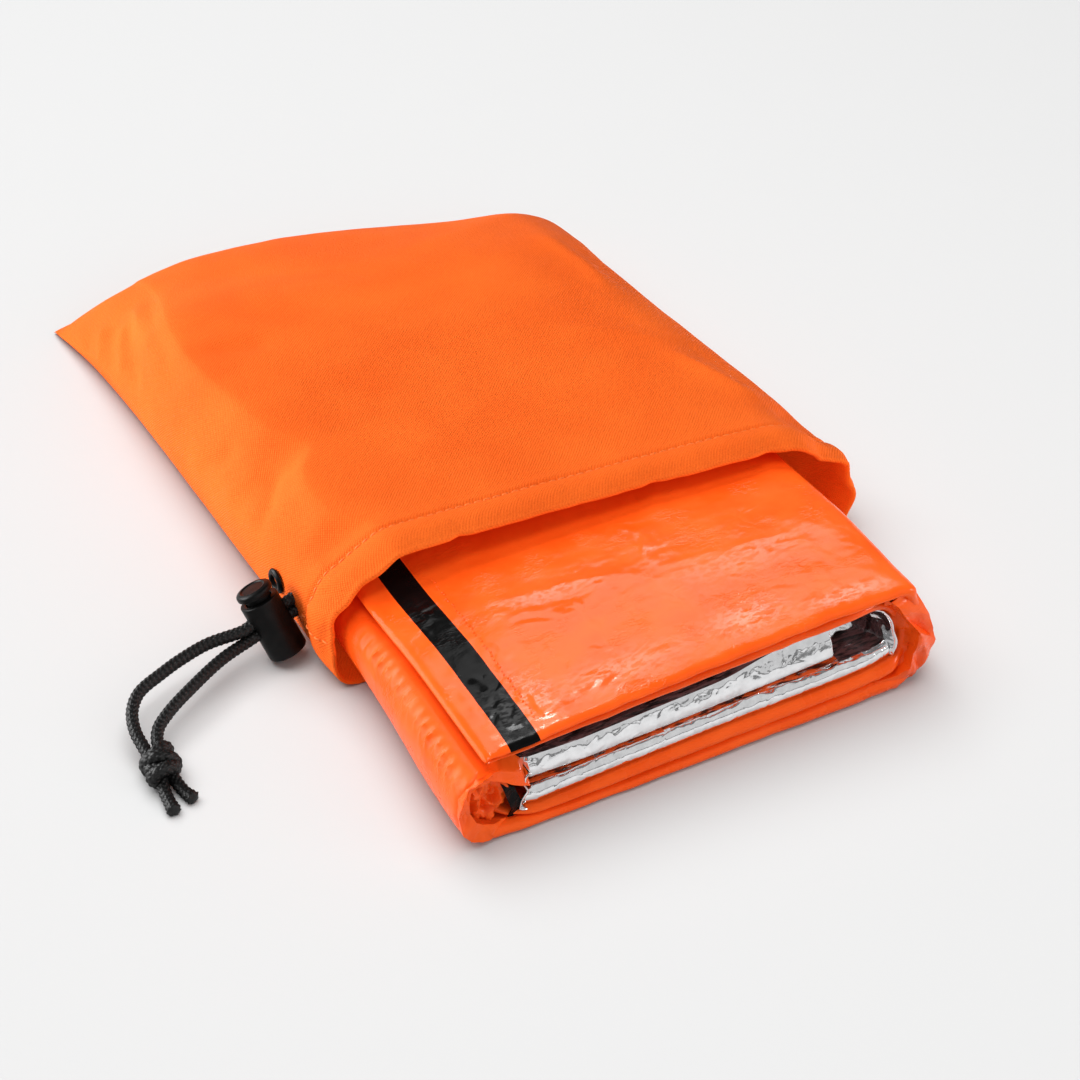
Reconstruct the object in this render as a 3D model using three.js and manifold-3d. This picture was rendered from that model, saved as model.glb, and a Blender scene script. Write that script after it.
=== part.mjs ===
// Folded emergency sleeping bag, half drawn out of its drawstring sack.
// Millimetres, +Z up. The sack's mouth and the bag's front end face -Y, the sack's closed end is at +Y.
// Shapes are laid out on the floor z = 0 in layout axes; SEAT then puts the origin under the middle.
import * as THREE from 'three';
import Module from 'manifold-3d';
import { mergeVertices } from 'three/addons/utils/BufferGeometryUtils.js';

const wasm = await Module();
wasm.setup();

// Driving dimensions
const SEAT = new THREE.Vector3(3.85, -32.25, 0);
const BAG_FRONT = -111.5;
const BAG_LENGTH = 192;
const FOLD_ROUNDING = [
  { back: 0, fullness: 0.35 },
  { back: 0.7, fullness: 0.78 },
  { back: 2.2, fullness: 1 },
];
const SACK_WALL = 1.2;
const CORD_DIAMETER = 3.4;
const CORD_SIDES = 8;
const LOCK_DIAMETER = 12.2;
const LOCK_LENGTH = 19.3;
const PLUNGER_TRAVEL = 1.6;
const GAP = 0.3;

// Where the bag passes into the sack it lies on the sack's bottom ply, a little flatter and tucked in
const TUCK = { from: -106, to: -36, lift: 1.6, squeeze: 0.05, backSqueeze: 0.11, leftInset: 2.4 };
// The left roll, the part that is tucked in: its reach in X and the heights where the tuck fades out
const ROLL = { inner: 40, outer: 80, low: 25, high: 29 };
const BAG_STATIONS = [-92, -74, -54, -36, 50];

// The film's section in X and Z, a row for each bend: x and z of the middle of the ply, half its
// thickness, and how far its front edge stands back from the bag's front.
const FILM_ROWS = [
  // left roll, from its free end under the flap down to the floor
  { x: -62.6, z: 17.6, half: 1.0, setback: 1.6 },
  { x: -67.5, z: 21.0, half: 1.4, setback: 1.2 },
  { x: -73.5, z: 24.0, half: 1.6, setback: 0.8 },
  { x: -78.4, z: 23.2, half: 1.8, setback: 0.4 },
  { x: -81.4, z: 18.8, half: 1.9, setback: 0.2 },
  { x: -81.8, z: 12.0, half: 2.0, setback: 0.2 },
  { x: -79.2, z: 6.3, half: 2.3, setback: 0.1 },
  { x: -73.5, z: 3.0, half: 2.7, setback: 0 },
  // bottom ply
  { x: -62, z: 2.75, half: 2.75, setback: 0 },
  { x: 0, z: 2.75, half: 2.75, setback: 0 },
  { x: 55, z: 2.75, half: 2.75, setback: 0 },
  // right fold, outer layer
  { x: 64.0, z: 4.1, half: 2.6, setback: 0.2 },
  { x: 69.4, z: 9.4, half: 2.3, setback: 0.5 },
  { x: 71.2, z: 16.0, half: 2.2, setback: 0.8 },
  { x: 69.4, z: 24.0, half: 2.0, setback: 1.2 },
  { x: 65.6, z: 32.0, half: 1.8, setback: 1.6 },
  { x: 60.0, z: 36.6, half: 1.6, setback: 2.0 },
  // flap, upper ply
  { x: 48, z: 37.3, half: 1.4, setback: 2.0 },
  { x: 25, z: 36.9, half: 1.3, setback: 2.0 },
  { x: 0, z: 35.8, half: 1.2, setback: 1.8 },
  { x: -40, z: 34.0, half: 0.9, setback: 1.4 },
  { x: -70, z: 31.9, half: 0.65, setback: 1.0 },
  // turn at the flap's left edge
  { x: -73.6, z: 31.5, half: 0.62, setback: 1.0 },
  { x: -74.3, z: 31.0, half: 0.62, setback: 1.0 },
  { x: -73.6, z: 30.4, half: 0.62, setback: 1.0 },
  // flap, lower ply
  { x: -70, z: 30.2, half: 0.65, setback: 1.2 },
  { x: -40, z: 31.8, half: 0.8, setback: 1.7 },
  { x: 0, z: 33.1, half: 1.0, setback: 2.2 },
  { x: 25, z: 33.9, half: 1.1, setback: 2.4 },
  { x: 48, z: 33.4, half: 1.2, setback: 2.4 },
  // right fold, inner layer
  { x: 56.4, z: 31.8, half: 1.4, setback: 2.2 },
  { x: 61.6, z: 27.4, half: 1.6, setback: 1.8 },
  { x: 64.6, z: 21.0, half: 1.7, setback: 1.4 },
  { x: 65.0, z: 15.4, half: 1.9, setback: 1.0 },
  { x: 62.4, z: 11.2, half: 2.3, setback: 0.8 },
  // upper bottom ply
  { x: 55, z: 9.7, half: 3.1, setback: 0.6 },
  { x: 0, z: 9.2, half: 2.95, setback: 0.6 },
  { x: -40, z: 8.4, half: 2.2, setback: 0.8 },
  { x: -57, z: 7.7, half: 1.5, setback: 1.0 },
  // wad rolled up inside the left roll
  { x: -64, z: 7.9, half: 1.5, setback: 1.0 },
  { x: -70, z: 9.0, half: 1.7, setback: 1.0 },
  { x: -75.0, z: 12.2, half: 1.8, setback: 1.0 },
  { x: -76.8, z: 16.6, half: 1.7, setback: 1.2 },
  { x: -74.0, z: 19.7, half: 1.6, setback: 1.2 },
  { x: -70.5, z: 18.0, half: 1.5, setback: 1.4 },
  { x: -70.4, z: 14.6, half: 1.4, setback: 1.6 },
  { x: -72.5, z: 14.1, half: 0.9, setback: 1.8 },
];

// The silver inside layer's section in Y and Z: y back from the bag's front, z above its base.
// The lower front fold and the larger upper one are the two bright bands at the bag's front.
const SILVER_HALF = 1.0;
const SILVER_ROWS = [
  // lowest layer and its front fold
  { y: 186, z: 1.35 },
  { y: 60, z: 1.35 },
  { y: 6.0, z: 1.35 },
  { y: 4.0, z: 1.7 },
  { y: 3.4, z: 2.6 },
  { y: 4.0, z: 3.5 },
  // second layer and its back fold
  { y: 6.0, z: 3.85 },
  { y: 60, z: 3.9 },
  { y: 176, z: 3.9 },
  { y: 178.4, z: 4.4 },
  { y: 179.2, z: 5.4 },
  { y: 178.4, z: 6.4 },
  // third layer and the large front fold
  { y: 176, z: 6.9 },
  { y: 60, z: 7.0 },
  { y: 13, z: 7.0 },
  { y: 7.5, z: 7.5 },
  { y: 4.6, z: 9.4 },
  { y: 4.0, z: 12.0 },
  { y: 5.6, z: 14.6 },
  { y: 9.6, z: 16.0 },
  // top layer
  { y: 18, z: 16.2 },
  { y: 60, z: 14.6 },
  { y: 182, z: 13.4 },
];
// A row for each place across the bag: base height, lift of the large fold, and how far it stands back
const SILVER_ACROSS = [
  { x: -60.4, base: 9.35, lift: 0.66, setback: 3.0, recess: 3 },
  { x: -57, base: 9.55, lift: 0.74, setback: 1.0, recess: 1 },
  { x: -42, base: 10.75, lift: 0.84, setback: 0.4, recess: 0 },
  { x: -20, base: 11.75, lift: 0.96, setback: 0, recess: 0 },
  { x: 0, base: 12.35, lift: 1.0, setback: 0, recess: 0 },
  { x: 20, base: 12.75, lift: 1.04, setback: 0, recess: 0 },
  { x: 37, base: 12.95, lift: 1.06, setback: 0, recess: 0.5 },
  { x: 40.5, base: 13.00, lift: 0.5, setback: 0, recess: 9 },
  { x: 51, base: 13.10, lift: 0.36, setback: 0.4, recess: 11 },
  { x: 56.6, base: 13.10, lift: 0.34, setback: 1.6, recess: 12 },
];
// Heights up to which the lower layers keep their thickness, and depths where the front folds fade out
const SILVER_FIXED = 7.0;
const SILVER_FADE = { low: 5.4, high: 8, foldStart: 40, foldEnd: 90, frontStart: 10, frontEnd: 60 };

// The sack, a row for each section from its mouth to its closed end: the two side seams in plan, the
// seam's height, the tops of the side walls, the crown's left and right parts, the ply's thickness,
// how far the section has gone over to the flatter slopes of the closed end, and how far its left foot
// leans out of the mouth.
const SACK_ROWS = [
  { name: 'lip', yLeft: -28.6, yRight: -41.4, xLeft: -87, xRight: 88.8, seam: 13,
    wallLeft: 25, crownLeft: 41.5, crownRight: 41.5, wallRight: 29.5, ply: 1.8, ease: 0, lean: 5 },
  { name: 'casing', yLeft: -22, yRight: -35, xLeft: -87.6, xRight: 89.8, seam: 13,
    wallLeft: 25.2, crownLeft: 42.2, crownRight: 42.2, wallRight: 30, ply: 2.4, ease: 0, lean: 2.5 },
  { name: 'stitch line', yLeft: -12.5, yRight: -25, xLeft: -87.2, xRight: 88.4, seam: 13,
    wallLeft: 24.6, crownLeft: 41.3, crownRight: 41.3, wallRight: 29.2, ply: 1.5, ease: 0, lean: 0 },
  { name: 'over the bag', yLeft: 22, yRight: 8, xLeft: -89.4, xRight: 85.8, seam: 12.5,
    wallLeft: 23, crownLeft: 40.6, crownRight: 40.6, wallRight: 28, ply: SACK_WALL, ease: 0, lean: 0 },
  { name: 'bag middle', yLeft: 70, yRight: 55, xLeft: -90.8, xRight: 81.4, seam: 11,
    wallLeft: 20.5, crownLeft: 39.8, crownRight: 39.4, wallRight: 26.5, ply: SACK_WALL, ease: 0, lean: 0 },
  { name: 'bag end', yLeft: 112, yRight: 96, xLeft: -92.2, xRight: 79.2, seam: 9,
    wallLeft: 16, crownLeft: 38.2, crownRight: 36.4, wallRight: 24, ply: SACK_WALL, ease: 0.15, lean: 0 },
  { name: 'slope', yLeft: 146, yRight: 131, xLeft: -94.2, xRight: 80, seam: 6,
    wallLeft: 9.5, crownLeft: 31, crownRight: 27, wallRight: 18.5, ply: SACK_WALL, ease: 0.55, lean: 0 },
  { name: 'nose', yLeft: 166, yRight: 151, xLeft: -96.4, xRight: 79.6, seam: 3.2,
    wallLeft: 5, crownLeft: 24.5, crownRight: 16, wallRight: 10, ply: SACK_WALL, ease: 1, lean: 0 },
  { name: 'end', yLeft: 173, yRight: 158, xLeft: -97.3, xRight: 78.6, seam: 2.1,
    wallLeft: 3, crownLeft: 18, crownRight: 10, wallRight: 5.4, ply: SACK_WALL, ease: 1.6, lean: 0 },
  { name: 'closed fold', yLeft: 176, yRight: 161, xLeft: -97.5, xRight: 77.5, seam: 1.4,
    wallLeft: 1.9, crownLeft: 8, crownRight: 4, wallRight: 2.6, ply: SACK_WALL, ease: 1.6, lean: 0 },
];
const SACK_INNER_ROWS = 9;
const SACK_SLANT = 1.6;
const SACK_RING_STEPS = 3;

// Points round one sack section: in from a side seam, height between two of the row's levels at the
// mouth and at the closed end, and the way the inside face is offset.
const SACK_SECTION = [
  { from: 'left', inset: 0, low: 'seam', high: 'seam', near: 0, far: 0, inX: 1, inZ: 0 },
  { from: 'left', inset: 1, low: 'wallLeft', high: 'wallLeft', near: 0, far: 0, inX: 0.9, inZ: -0.5 },
  { from: 'left', inset: 12, low: 'wallLeft', high: 'crownLeft', near: 0.63, far: 0.48, inX: 0.5, inZ: -0.9 },
  { from: 'left', inset: 28, low: 'wallLeft', high: 'crownLeft', near: 0.9, far: 0.65, inX: 0.2, inZ: -1 },
  { from: 'left', inset: 46, low: 'wallLeft', high: 'crownLeft', near: 0.99, far: 0.91, inX: 0, inZ: -1 },
  { from: 'left', inset: 88, low: 'crownLeft', high: 'crownRight', near: 0.42, far: 0.22, inX: 0, inZ: -1 },
  { from: 'right', inset: 34, low: 'wallRight', high: 'crownRight', near: 1, far: 1, inX: 0, inZ: -1 },
  { from: 'right', inset: 16, low: 'wallRight', high: 'crownRight', near: 0.8, far: 0.8, inX: -0.3, inZ: -1 },
  { from: 'right', inset: 4, low: 'wallRight', high: 'wallRight', near: 0, far: 0, inX: -0.8, inZ: -0.6 },
  { from: 'right', inset: 0, low: 'seam', high: 'seam', near: 0, far: 0, inX: -1, inZ: 0 },
  { from: 'right', inset: 2.4, low: 'floor', high: 'seam', near: 0.24, far: 0.24, inX: -0.8, inZ: 0.6 },
  { from: 'right', inset: 8, low: 'floor', high: 'floor', near: 0, far: 0, inX: -0.2, inZ: 1 },
  { from: 'left', inset: 88, low: 'floor', high: 'floor', near: 0, far: 0, inX: 0, inZ: 1 },
  { from: 'left', inset: 8, low: 'floor', high: 'floor', near: 0, far: 0, inX: 0.2, inZ: 1 },
  { from: 'left', inset: 2.4, low: 'floor', high: 'seam', near: 0.24, far: 0.24, inX: 0.8, inZ: 0.6 },
];

// Cord lock: a barrel standing on the floor beside the mouth, with its plunger pushed out
const LOCK_FOOT = new THREE.Vector3(-92.7, -14.7, 3.2);
const LOCK_AXIS = new THREE.Vector3(-0.28, 0.405, 0.87).normalize();
const LOCK_BORE = 8.4;
const LOCK_FLOOR = 2.0;
const LOCK_EDGE = 0.8;
const PLUNGER_STEM = 7.8;
const PLUNGER_FOOT = LOCK_FLOOR + PLUNGER_TRAVEL + GAP;
const PLUNGER_CAP = { diameter: 11.4, thickness: 2.0, edge: 0.7 };
const CORD_CHANNEL = { width: CORD_DIAMETER + 2 * GAP, upper: 13.5, lower: 9.9 };

// Eyelet on the sack's left side, beside the cord's exit
const EYELET = { outer: 8.2, hole: 3.8, thick: 1.2, tilt: 4 };
const EYELET_PLACE = new THREE.Vector3(-89.3, 1.6, 17);

// Cord routes. In the lock a strand is straight: places along it, in lock radii from the barrel's middle.
// Beyond it come the free stretch to the knot and, past the knot, the two tails.
const STRAND_A_LOCK = [1.37, 0.4, -0.4, -1.1, -1.45];
const STRAND_A_ROUTE = [
  [-116.1, -9.4, 11.5], [-125, -11.6, 11.2], [-132.6, -14.4, 10.8], [-141.4, -18.4, 10],
  [-145.8, -24, 9], [-147.5, -30.4, 7.5], [-147.4, -36.4, 6.2], [-147.1, -42, 5.2],
];
const STRAND_B_LOCK = [1.2, 0.4, -0.4, -1.1, -1.45];
const STRAND_B_ROUTE = [
  [-114.1, -15.4, 9.4], [-126.4, -22.1, 8.9], [-136, -27.9, 8],
  [-141, -32, 7], [-143.1, -36.4, 6.1], [-143.5, -42, 5.2],
];
const TAIL_A_ROUTE = [[-147.2, -47, 3.6], [-147.4, -50.6, 2.7], [-147.7, -55.6, 1.9], [-147.9, -60.8, 1.8]];
const TAIL_B_ROUTE = [[-143.4, -47, 3.6], [-143.2, -50.4, 2.7], [-142.4, -54.6, 1.9], [-141, -58.6, 1.8]];
const CORD_STEPS = 18;
const TAIL_STEPS = 4;

// Knot: three turns of cord drawn up on a core, flattened a little where it lies
const KNOT_PLACE = new THREE.Vector3(-145.4, -44.4, 4.75);
const KNOT_HEADING = -6;
const KNOT_FLATTEN = 0.86;
const KNOT_CORE = { across: 3.8, along: 6.2 };
const KNOT_TURNS = [
  { along: 4.0, radius: 3.4, pitch: 12, yaw: 20 },
  { along: 0.2, radius: 3.7, pitch: -10, yaw: -24 },
  { along: -3.6, radius: 3.4, pitch: 8, yaw: 18 },
];

const film = new THREE.MeshStandardMaterial({ color: 0xff6a2a, roughness: 0.28, metalness: 0 });
const cloth = new THREE.MeshStandardMaterial({ color: 0xf9691f, roughness: 0.85, metalness: 0 });
const silver = new THREE.MeshStandardMaterial({ color: 0xd9dcdf, roughness: 0.12, metalness: 1 });
const plastic = new THREE.MeshStandardMaterial({ color: 0x151515, roughness: 0.42, metalness: 0 });
const braid = new THREE.MeshStandardMaterial({ color: 0x121212, roughness: 0.8, metalness: 0 });

const { smoothstep, lerp, degToRad } = THREE.MathUtils;

function piece(name, geometry, material) {
  const mesh = new THREE.Mesh(geometry, material);
  mesh.name = name;
  return mesh;
}

function signedVolume(points, index) {
  let sum = 0;
  const cross = new THREE.Vector3();
  for (let i = 0; i < index.length; i += 3) {
    cross.crossVectors(points[index[i + 1]], points[index[i + 2]]);
    sum += points[index[i]].dot(cross);
  }
  return sum / 6;
}

// A closed surface with its faces pointing out
function closedSurface(points, index) {
  const flipped = signedVolume(points, index) < 0;
  const order = flipped ? index.slice().reverse() : index;
  const geometry = new THREE.BufferGeometry().setFromPoints(points);
  geometry.setIndex(order);
  return geometry;
}

// Quads between two rings of equal count, given by the index of their first points
function band(index, first, second, count) {
  for (let i = 0; i < count; i += 1) {
    const next = (i + 1) % count;
    index.push(first + i, first + next, second + next);
    index.push(first + i, second + next, second + i);
  }
}

// A cap over one ring, from the triangles of its flat outline
function cap(index, first, outline, reversed) {
  for (const [a, b, c] of THREE.ShapeUtils.triangulateShape(outline, [])) {
    if (reversed) index.push(first + c, first + b, first + a);
    else index.push(first + a, first + b, first + c);
  }
}

// A solid lofted through rings that all have the same flat outline order
function loft(rings, outlineOf) {
  const count = rings[0].length;
  const index = [];
  for (let r = 0; r + 1 < rings.length; r += 1) band(index, r * count, (r + 1) * count, count);
  const turnsLeft = THREE.ShapeUtils.area(rings[0].map(outlineOf)) > 0;
  cap(index, 0, rings[0].map(outlineOf), turnsLeft);
  cap(index, (rings.length - 1) * count, rings[rings.length - 1].map(outlineOf), !turnsLeft);
  return { points: rings.flat(), index };
}

// The outline of a strip with varying thickness along a smooth path through rows of (a, b, half)
function stripOutline(rows, steps) {
  const path = new THREE.CatmullRomCurve3(rows, false, 'centripetal');
  const spans = rows.length - 1;
  const sides = { near: [], far: [] };
  for (let i = 0; i <= spans * steps; i += 1) {
    const at = i / (spans * steps);
    const { x, y, z: half } = path.getPoint(at);
    const before = path.getPoint(Math.max(0, at - 0.002));
    const after = path.getPoint(Math.min(1, at + 0.002));
    const length = Math.hypot(after.x - before.x, after.y - before.y);
    const normal = [-(after.y - before.y) / length, (after.x - before.x) / length];
    sides.near.push({ middle: [x, y], normal, half, at });
    sides.far.unshift({ middle: [x, y], normal: [-normal[0], -normal[1]], half, at });
  }
  return [...sides.near, ...sides.far];
}

// The bag eases up, flatter and tucked in on its left, as it passes into the sack
function settled(x, y, z) {
  const inside = smoothstep(y, TUCK.from, TUCK.to);
  const towardsBack = smoothstep(y, TUCK.to, BAG_FRONT + BAG_LENGTH);
  const height = 1 - TUCK.squeeze * inside - TUCK.backSqueeze * towardsBack;
  const atRoll = smoothstep(-x, ROLL.inner, ROLL.outer) * (1 - smoothstep(z, ROLL.low, ROLL.high));
  return new THREE.Vector3(x + TUCK.leftInset * inside * atRoll, y, z * height + TUCK.lift * inside);
}

function filmGeometry() {
  const rows = FILM_ROWS.map((row) => new THREE.Vector3(row.x, row.z, row.half));
  const outline = stripOutline(rows, 2);
  const setbackAt = (at) => {
    const place = at * (FILM_ROWS.length - 1);
    const row = Math.min(Math.floor(place), FILM_ROWS.length - 2);
    return lerp(FILM_ROWS[row].setback, FILM_ROWS[row + 1].setback, place - row);
  };
  const back = BAG_FRONT + BAG_LENGTH;
  const stations = [
    ...FOLD_ROUNDING.map(({ back: depth, fullness }) => ({ depth, fullness })),
    ...BAG_STATIONS.map((y) => ({ y, fullness: 1 })),
    ...FOLD_ROUNDING.map(({ back: depth, fullness }) => ({ y: back - depth, fullness })).reverse(),
  ];
  const rings = stations.map(({ depth, y, fullness }) => outline.map(({ middle, normal, half, at }) => {
    const alongY = y ?? BAG_FRONT + setbackAt(at) + depth;
    const reach = half * fullness;
    return settled(middle[0] + normal[0] * reach, alongY, Math.max(0, middle[1] + normal[1] * reach));
  }));
  const { points, index } = loft(rings, ({ x, z }) => new THREE.Vector2(x, z));
  return closedSurface(points, index);
}

function silverGeometry() {
  const rows = SILVER_ROWS.map((row) => new THREE.Vector3(row.y, row.z, SILVER_HALF));
  const outline = stripOutline(rows, 2);
  const rings = SILVER_ACROSS.map((across) => outline.map(({ middle, normal, half }) => {
    const upper = Math.max(0, middle[1] - SILVER_FIXED);
    const inFold = smoothstep(middle[1], SILVER_FADE.low, SILVER_FADE.high)
      * (1 - smoothstep(middle[0], SILVER_FADE.foldStart, SILVER_FADE.foldEnd));
    const height = middle[1] - upper + upper * across.lift + normal[1] * half;
    const nearFront = 1 - smoothstep(middle[0], SILVER_FADE.frontStart, SILVER_FADE.frontEnd);
    const depth = middle[0] + normal[0] * half + across.recess * inFold + across.setback * nearFront;
    return settled(across.x, BAG_FRONT + depth, across.base + height);
  }));
  const { points, index } = loft(rings, ({ y, z }) => new THREE.Vector2(y, z));
  return closedSurface(points, index);
}

// One ring of the sack: the outside face when ply is 0, the inside face when it is the wall
function sackRing(row, ply) {
  const level = { ...row, floor: 0 };
  const control = SACK_SECTION.map(({ from, inset, low, high, near, far, inX, inZ }) => {
    const side = from === 'left' ? row.xLeft + inset : row.xRight - inset;
    const height = lerp(level[low], level[high], lerp(near, far, row.ease));
    const wall = inZ > 0 ? Math.min(ply, SACK_WALL) : ply;
    return new THREE.Vector3(side + inX * wall, 0, height + inZ * wall);
  });
  const curve = new THREE.CatmullRomCurve3(control, true, 'centripetal');
  const lowest = Math.min(ply, SACK_WALL);
  return curve.getPoints(control.length * SACK_RING_STEPS).slice(0, -1).map(({ x, z }) => {
    const across = THREE.MathUtils.clamp((x - row.xLeft) / (row.xRight - row.xLeft), 0, 1);
    const lean = row.lean * (1 - across) * (1 - z / row.crownLeft);
    const y = lerp(row.yLeft, row.yRight, across ** SACK_SLANT) - lean;
    return new THREE.Vector3(x, y, Math.max(lowest, z));
  });
}

function sackGeometry() {
  const outer = SACK_ROWS.map((row) => sackRing(row, 0));
  const inner = SACK_ROWS.slice(0, SACK_INNER_ROWS).map((row) => sackRing(row, row.ply));
  const { points, index } = loft([...outer.reverse(), ...inner], ({ x, z }) => new THREE.Vector2(x, z));
  return closedSurface(points, index);
}

// A closed three.js geometry as a manifold solid, for joins and cuts
function solid(geometry, matrix = new THREE.Matrix4()) {
  const bare = geometry.clone().applyMatrix4(matrix);
  bare.deleteAttribute('normal');
  bare.deleteAttribute('uv');
  const merged = mergeVertices(bare, 1e-4);
  return new wasm.Manifold(new wasm.Mesh({
    numProp: 3,
    vertProperties: new Float32Array(merged.attributes.position.array),
    triVerts: new Uint32Array(merged.index.array),
  }));
}

function fromSolid(body) {
  const { vertProperties, triVerts } = body.getMesh();
  const geometry = new THREE.BufferGeometry();
  geometry.setAttribute('position', new THREE.BufferAttribute(new Float32Array(vertProperties), 3));
  geometry.setIndex(new THREE.BufferAttribute(new Uint32Array(triVerts), 1));
  return geometry;
}

function turned(profile, segments) {
  return new THREE.LatheGeometry(profile.map(([r, s]) => new THREE.Vector2(r, s)), segments);
}

// The lock stands along its own Y; the cords pass through it along its own X
function barrelGeometry() {
  const radius = LOCK_DIAMETER / 2;
  const bore = LOCK_BORE / 2;
  const shell = turned([
    [0, 0], [radius - LOCK_EDGE, 0], [radius, LOCK_EDGE],
    [radius, LOCK_LENGTH - LOCK_EDGE / 2], [radius - LOCK_EDGE / 2, LOCK_LENGTH],
    [bore, LOCK_LENGTH], [bore, LOCK_FLOOR], [0, LOCK_FLOOR],
  ], 24);
  const low = CORD_CHANNEL.lower - CORD_CHANNEL.width / 2;
  const high = CORD_CHANNEL.upper + CORD_CHANNEL.width / 2;
  const slot = new THREE.BoxGeometry(2 * LOCK_DIAMETER, high - low, CORD_CHANNEL.width);
  slot.translate(0, (low + high) / 2, 0);
  return fromSolid(solid(shell).subtract(solid(slot)));
}

function plungerGeometry() {
  const stem = PLUNGER_STEM / 2;
  const button = PLUNGER_CAP.diameter / 2;
  const under = LOCK_LENGTH + PLUNGER_TRAVEL + GAP;
  const top = under + PLUNGER_CAP.thickness;
  const shaft = turned([
    [0, PLUNGER_FOOT], [stem, PLUNGER_FOOT], [stem, under], [button, under],
    [button, top - PLUNGER_CAP.edge], [button - PLUNGER_CAP.edge, top], [0, top],
  ], 24);
  const low = CORD_CHANNEL.lower - CORD_CHANNEL.width / 2;
  const high = CORD_CHANNEL.upper + CORD_CHANNEL.width / 2 + PLUNGER_TRAVEL;
  const slot = new THREE.BoxGeometry(2 * LOCK_DIAMETER, high - low, CORD_CHANNEL.width);
  slot.translate(0, (low + high) / 2, 0);
  return fromSolid(solid(shaft).subtract(solid(slot)));
}

// The lock's own axes in the layout: along the barrel, and the way the cords cross it
function lockMatrix() {
  const along = LOCK_AXIS;
  const across = new THREE.Vector3(1, 0, 0).addScaledVector(along, -along.x).normalize();
  const third = new THREE.Vector3().crossVectors(across, along);
  return new THREE.Matrix4().makeBasis(across, along, third).setPosition(LOCK_FOOT);
}

// A strand: straight from the sack through the lock, then along its free route
function strandRoute(lockPlaces, height, route) {
  const inLock = lockPlaces.map((radii) => {
    const across = (radii * LOCK_DIAMETER) / 2;
    return new THREE.Vector3(across, height, 0).applyMatrix4(lockMatrix());
  });
  return [...inLock, ...route.map((p) => new THREE.Vector3(...p))];
}

function cordGeometry(route, steps) {
  const ring = Array.from({ length: CORD_SIDES }, (_, i) => {
    const angle = (2 * Math.PI * i) / CORD_SIDES;
    return new THREE.Vector2(Math.cos(angle), Math.sin(angle)).multiplyScalar(CORD_DIAMETER / 2);
  });
  const extrudePath = new THREE.CatmullRomCurve3(route, false, 'centripetal');
  return new THREE.ExtrudeGeometry(new THREE.Shape(ring), { steps, extrudePath, bevelEnabled: false });
}

// The knot in the layout, its cord made thicker by a margin where it clears the strands
function knotSolid(margin) {
  const across = KNOT_CORE.across + margin;
  const core = new THREE.SphereGeometry(1, 12, 8).scale(across, KNOT_CORE.along + margin, across);
  const turns = KNOT_TURNS.map(({ along, radius, pitch, yaw }) => {
    const loop = new THREE.TorusGeometry(radius, CORD_DIAMETER / 2 + margin, 6, 14).rotateX(Math.PI / 2);
    return loop.rotateX(degToRad(pitch)).rotateZ(degToRad(yaw)).translate(0, along, 0);
  });
  const place = new THREE.Matrix4().makeRotationZ(degToRad(KNOT_HEADING));
  place.scale(new THREE.Vector3(1, 1, KNOT_FLATTEN)).setPosition(KNOT_PLACE);
  return turns.reduce((sum, loop) => sum.add(solid(loop, place)), solid(core, place));
}

// The stretch of a cord that lies outside the knot
function outsideKnot(geometry) {
  const parts = solid(geometry).subtract(knotSolid(GAP)).decompose();
  const longest = parts.reduce((best, one) => (one.volume() > best.volume() ? one : best));
  return fromSolid(longest);
}

function eyeletGeometry() {
  const half = EYELET.thick / 2;
  const rim = EYELET.outer / 2;
  const hole = EYELET.hole / 2;
  return turned([
    [hole, -half], [rim, -half], [rim, -half / 3], [rim - half, half], [hole + half, half],
    [hole, half / 3], [hole, -half],
  ], 20);
}

const layout = new THREE.Group();
layout.position.copy(SEAT);

layout.add(piece('sack_body', sackGeometry(), cloth));
layout.add(piece('bag_film', filmGeometry(), film));
layout.add(piece('silver_inner', silverGeometry(), silver));

const eyelet = piece('eyelet', eyeletGeometry(), plastic);
eyelet.rotation.z = Math.PI / 2 + degToRad(EYELET.tilt);
eyelet.position.copy(EYELET_PLACE);
layout.add(eyelet);

const lock = new THREE.Group();
lock.applyMatrix4(lockMatrix());
lock.add(piece('cord_lock_barrel', barrelGeometry(), plastic));
lock.add(piece('cord_lock_plunger', plungerGeometry(), plastic));
layout.add(lock);

const strandA = strandRoute(STRAND_A_LOCK, CORD_CHANNEL.upper, STRAND_A_ROUTE);
const strandB = strandRoute(STRAND_B_LOCK, CORD_CHANNEL.lower, STRAND_B_ROUTE);
const tailA = TAIL_A_ROUTE.map((p) => new THREE.Vector3(...p));
const tailB = TAIL_B_ROUTE.map((p) => new THREE.Vector3(...p));
layout.add(piece('cord_strand_a', outsideKnot(cordGeometry(strandA, CORD_STEPS)), braid));
layout.add(piece('cord_strand_b', outsideKnot(cordGeometry(strandB, CORD_STEPS)), braid));
layout.add(piece('cord_tail_a', outsideKnot(cordGeometry(tailA, TAIL_STEPS)), braid));
layout.add(piece('cord_tail_b', outsideKnot(cordGeometry(tailB, TAIL_STEPS)), braid));
layout.add(piece('cord_knot', fromSolid(knotSolid(0)), braid));

const part = new THREE.Group();
part.add(layout);

export default part;
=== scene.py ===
# Folded emergency sleeping bag, partly drawn out of its drawstring sack
import itertools
import math

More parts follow.
